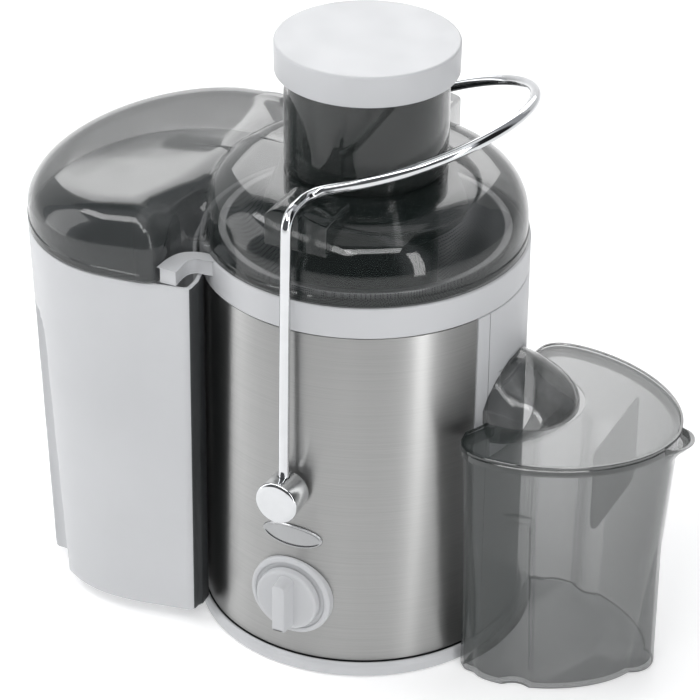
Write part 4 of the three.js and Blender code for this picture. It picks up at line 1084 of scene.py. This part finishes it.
def jug_cover():
    low = JUG_RIM + GAP
    flat = [Vector((p.x, p.y)) for p in jug_loop(JUG_RIM, 0, lipped=False)]
    plate_levels = [(0, 0.3), (0.3, 0.0), (1.5, 0.0), (1.8, 0.3), (1.8, 1.3), (1.3, 1.7)]
    skirt_levels = [(-0.1, 3.5), (-5, 3.6), (-5, 4.6), (-0.1, 4.8)]
    made = loft("jug lid", [at(inset(flat, amount), low + up) for up, amount in plate_levels], JUG_LID_SMOKE)
    skirt_loops = [at(inset(flat, amount), low + up) for up, amount in skirt_levels]
    skirt = hoop("jug lid skirt", skirt_loops, JUG_LID_SMOKE)
    opening = spout_loop(spout_high.x + 3, spout_high.y + 3, 20)
    for piece in (made, skirt):
        cutter = loft("opening", [at(opening, low - 12), at(opening, low + 12)], JUG_LID_SMOKE)
        carve(piece, cutter, tangled=True)
    made = combine(made, skirt)
    deepen(made, EDGE_SMOKE, lambda p, facing: p.z > low and distance_to(Vector((p.x, p.y)), flat) < 1.5)
    finish_piece(made, "jug_cover", "clear_smoke_plastic", "jug_lid")


def foam_separator():
    low, high = extent("foam_separator")
    half, top, bottom = high.y, high.z - 0.05, low.z
    face = rounded([(-half, bottom), (half, bottom), (half, top), (-half, top)], [10, 10, 0.5, 0.5], 8)
    loops = []
    for x, amount in ((low.x, 0.5), (low.x + 0.4, 0), (high.x - 0.4, 0), (high.x, 0.5)):
        loops.append([Vector((x, p.x, p.y)) for p in inset(face, amount)])
    made = loft("foam separator", loops, JUG_SMOKE)
    finish_piece(made, "jug_cover", "clear_smoke_plastic", "foam_separator")


# ---------------------------------------------------------------- spout


def spout_body(wall, extra):
    """The spout drawn in by a wall, begun an extra below its foot. A section is height, reach and width."""
    edge, bulge = spout_low.z + 15, 0.9
    nose, half = spout_high.x, spout_high.y
    sections = [
        (spout_low.z - extra, nose - 20, half - 6), (edge - 1, nose - 2, half - 0.6), (edge, nose, half),
        (edge + 4, nose, half), (edge + 11, nose - 5, half - 1.5), (edge + 19, nose - 16, half - 7),
        (edge + 25, nose - 26, half - 14), (spout_high.z - wall, nose - 33, half - 22),
    ]
    loops = []
    for i, (z, reach, width) in enumerate(sections):
        loops.append(at(spout_loop(reach - wall, width - wall), z))
        if 2 < i < len(sections) - 1:
            after = sections[i + 1]
            middle = [(a + b) / 2 for a, b in zip((z, reach, width), after)]
            loops.append(at(spout_loop(middle[1] - wall + bulge, middle[2] - wall + bulge), middle[0]))
    return loft("spout", loops, SMOKE)


def spout():
    made = spout_body(0, 0)
    carve(made, spout_body(2.2, 1))
    carve(made, cutter_cylinder(BODY_R + 0.25, 100, 300))
    finish_piece(made, "base", "smoke_plastic", "spout")


# ---------------------------------------------------------------- filter basket


def filter_basket():
    low, high = basket_low.z, basket_high.z
    rim, hub_r = basket_high.x, 4.6
    outline = rounded(
        [(hub_r, low), (52, low), (rim - 3, high - 3.5), (rim, high - 3.5), (rim, high), (rim - 4.4, high),
         (51, low + 2), (hub_r, low + 2)],
        [0.2, 3, 1, 0.5, 0.7, 1, 3, 0.3],
    )
    made = lathe("filter basket", outline, MESH_STEEL)
    finish_piece(made, "rotor", "steel", "filter_basket")


# ---------------------------------------------------------------- carried-over CAD pieces

FINISHES = {
    "dark_plastic": DARK,
    "grey_plastic": GREY,
    "steel": SATIN,
    "copper_alloy": COPPER,
    "rubber": RUBBER,
    "chrome": CHROME,
    "brushed_steel": STEEL,
    "smoke_plastic": SMOKE,
    "clear_smoke_plastic": JUG_SMOKE,
}


def dress_cad_nodes():
    for part in frame["record"]["subparts"]:
        made = nodes[part["node"]]
        made.data.materials.clear()
        made.data.materials.append(FINISHES[part["material_slot"]])


# ---------------------------------------------------------------- stage, lights and camera

CAMERA_AZIMUTH = math.radians(25)
CAMERA_DISTANCE = 1.5
CAMERA_HEIGHT = 1.03445
CAMERA_PITCH = math.radians(29.314)
CAMERA_YAW = math.radians(-1.148)
CAMERA_ROLL = math.radians(0.179)
CAMERA_LENS = 160.9
CAMERA_SHIFT = (0.0576, -0.08)


def floor():
    """White paper that runs back from the object and up behind it in one sweep."""
    size, back, bend, height = 4.0, 1.6, 0.8, 3.2
    profile = [(-size, 0.0), (back, 0.0)]
    for k in range(1, 13):
        turn = k / 12 * math.pi / 2
        profile.append((back + bend * math.sin(turn), bend * (1 - math.cos(turn))))
    profile.append((back + bend, height))
    turn = Matrix.Rotation(CAMERA_AZIMUTH, 3, "Z")
    points = []
    for along, up in profile:
        for across in (-size, size):
            points.append(tuple((turn @ Vector((across, along, up))) / MM))
    faces = [(2 * i, 2 * i + 1, 2 * i + 3, 2 * i + 2) for i in range(len(profile) - 1)]
    paper = Recipe("studio paper")
    paper.tint(paper.spread(paper.noise(3, 2), 0, 1), (0.86, 0.86, 0.86), (0.9, 0.9, 0.9))
    paper.bump(paper.noise(400, 2), 0.05, 0.2)
    paper.set(Roughness=0.9, Emission_Color=(1, 1, 1, 1), Emission_Strength=0.3)
    made = shape("studio sweep", points, faces, paper.material)


def softbox(name, azimuth, elevation, distance, size, power, aim=(0, 0, 0.17)):
    """A soft rectangular light, its azimuth from -Y towards +X, in degrees."""
    a, e = math.radians(azimuth), math.radians(elevation)
    direction = Vector((math.sin(a) * math.cos(e), -math.cos(a) * math.cos(e), math.sin(e)))
    light = bpy.data.lights.new(name, "AREA")
    light.shape = "RECTANGLE"
    light.size, light.size_y = size
    light.energy = power
    lamp = bpy.data.objects.new(name, light)
    lamp.location = Vector(aim) + direction * distance
    lamp.rotation_euler = (-direction).to_track_quat("-Z", "Y").to_euler()
    bpy.context.scene.collection.objects.link(lamp)


FLAGS = [
    (-132, 1.0), (-124, 0.1), (-104, 0.1), (-94, 1.3), (-54, 1.3), (-44, 0.3),
    (46, 0.3), (54, 1.6), (68, 1.6), (76, 0.06), (112, 0.06), (124, 1.0),
]


def studio_walls():
    """Soft room light with dark flags, each an azimuth and a level, for bright metal to reflect."""
    world = bpy.data.worlds.new("studio")
    world.use_nodes = True
    tree = world.node_tree
    background = tree.nodes["Background"]
    place = tree.nodes.new("ShaderNodeTexCoord")
    apart = tree.nodes.new("ShaderNodeSeparateXYZ")
    tree.links.new(place.outputs["Generated"], apart.inputs["Vector"])
    around = tree.nodes.new("ShaderNodeMath")
    around.operation = "ARCTAN2"
    tree.links.new(apart.outputs["X"], around.inputs[0])
    flip = tree.nodes.new("ShaderNodeMath")
    flip.operation = "MULTIPLY"
    flip.inputs[1].default_value = -1
    tree.links.new(apart.outputs["Y"], flip.inputs[0])
    tree.links.new(flip.outputs[0], around.inputs[1])
    bands = tree.nodes.new("ShaderNodeValToRGB")
    share = tree.nodes.new("ShaderNodeMapRange")
    share.inputs["From Min"].default_value = -math.pi
    share.inputs["From Max"].default_value = math.pi
    tree.links.new(around.outputs[0], share.inputs["Value"])
    tree.links.new(share.outputs["Result"], bands.inputs["Fac"])
    elements = bands.color_ramp.elements
    elements[0].position, elements[1].position = 0.0, 1.0
    for azimuth, level in FLAGS:
        element = elements.new((azimuth + 180) / 360)
        element.color = (0.93 * level, 0.95 * level, level, 1)
    for element in (elements[0], elements[-1]):
        element.color = (0.93, 0.95, 1.0, 1)
    tree.links.new(bands.outputs["Color"], background.inputs["Color"])
    background.inputs["Strength"].default_value = 0.38
    bpy.context.scene.world = world


def lights():
    softbox("key", -36, 55, 2.0, (2.9, 0.34), 17)
    softbox("second key", 32, 50, 2.0, (1.1, 0.3), 6)
    softbox("left strip", -72, 14, 1.7, (0.8, 1.6), 8)
    softbox("right strip", 61, 14, 1.7, (0.22, 1.6), 7)
    softbox("top", 25, 82, 2.0, (1.6, 1.6), 6)
    softbox("back", 205, 34, 2.2, (2.2, 1.0), 17)


def camera():
    data = bpy.data.cameras.new("camera")
    data.sensor_width = 36
    data.lens = CAMERA_LENS
    data.shift_x, data.shift_y = CAMERA_SHIFT
    data.clip_end = 50
    made = bpy.data.objects.new("camera", data)
    bpy.context.scene.collection.objects.link(made)
    turn = Matrix.Rotation(CAMERA_AZIMUTH, 3, "Z")
    made.location = turn @ Vector((0, -CAMERA_DISTANCE, CAMERA_HEIGHT))
    forward = Vector((
        math.sin(CAMERA_YAW) * math.cos(CAMERA_PITCH),
        math.cos(CAMERA_YAW) * math.cos(CAMERA_PITCH),
        -math.sin(CAMERA_PITCH),
    ))
    facing = (turn @ forward).to_track_quat("-Z", "Y")
    roll = Matrix.Rotation(CAMERA_ROLL, 3, "Z").to_quaternion()
    made.rotation_euler = (facing @ roll).to_euler()
    bpy.context.scene.camera = made


motor_housing()
steel_sheet()
base_trim()
foot_pads()
bowl()
lid()
pusher()
locking_arm()
pivot_bushes()
switch_plate()
control_knob()
badge()
pulp_container()
juice_jug()
jug_cover()
foam_separator()
spout()
filter_basket()
dress_cad_nodes()
floor()
studio_walls()
lights()
camera()
bpy.context.scene.view_settings.view_transform = "Standard"
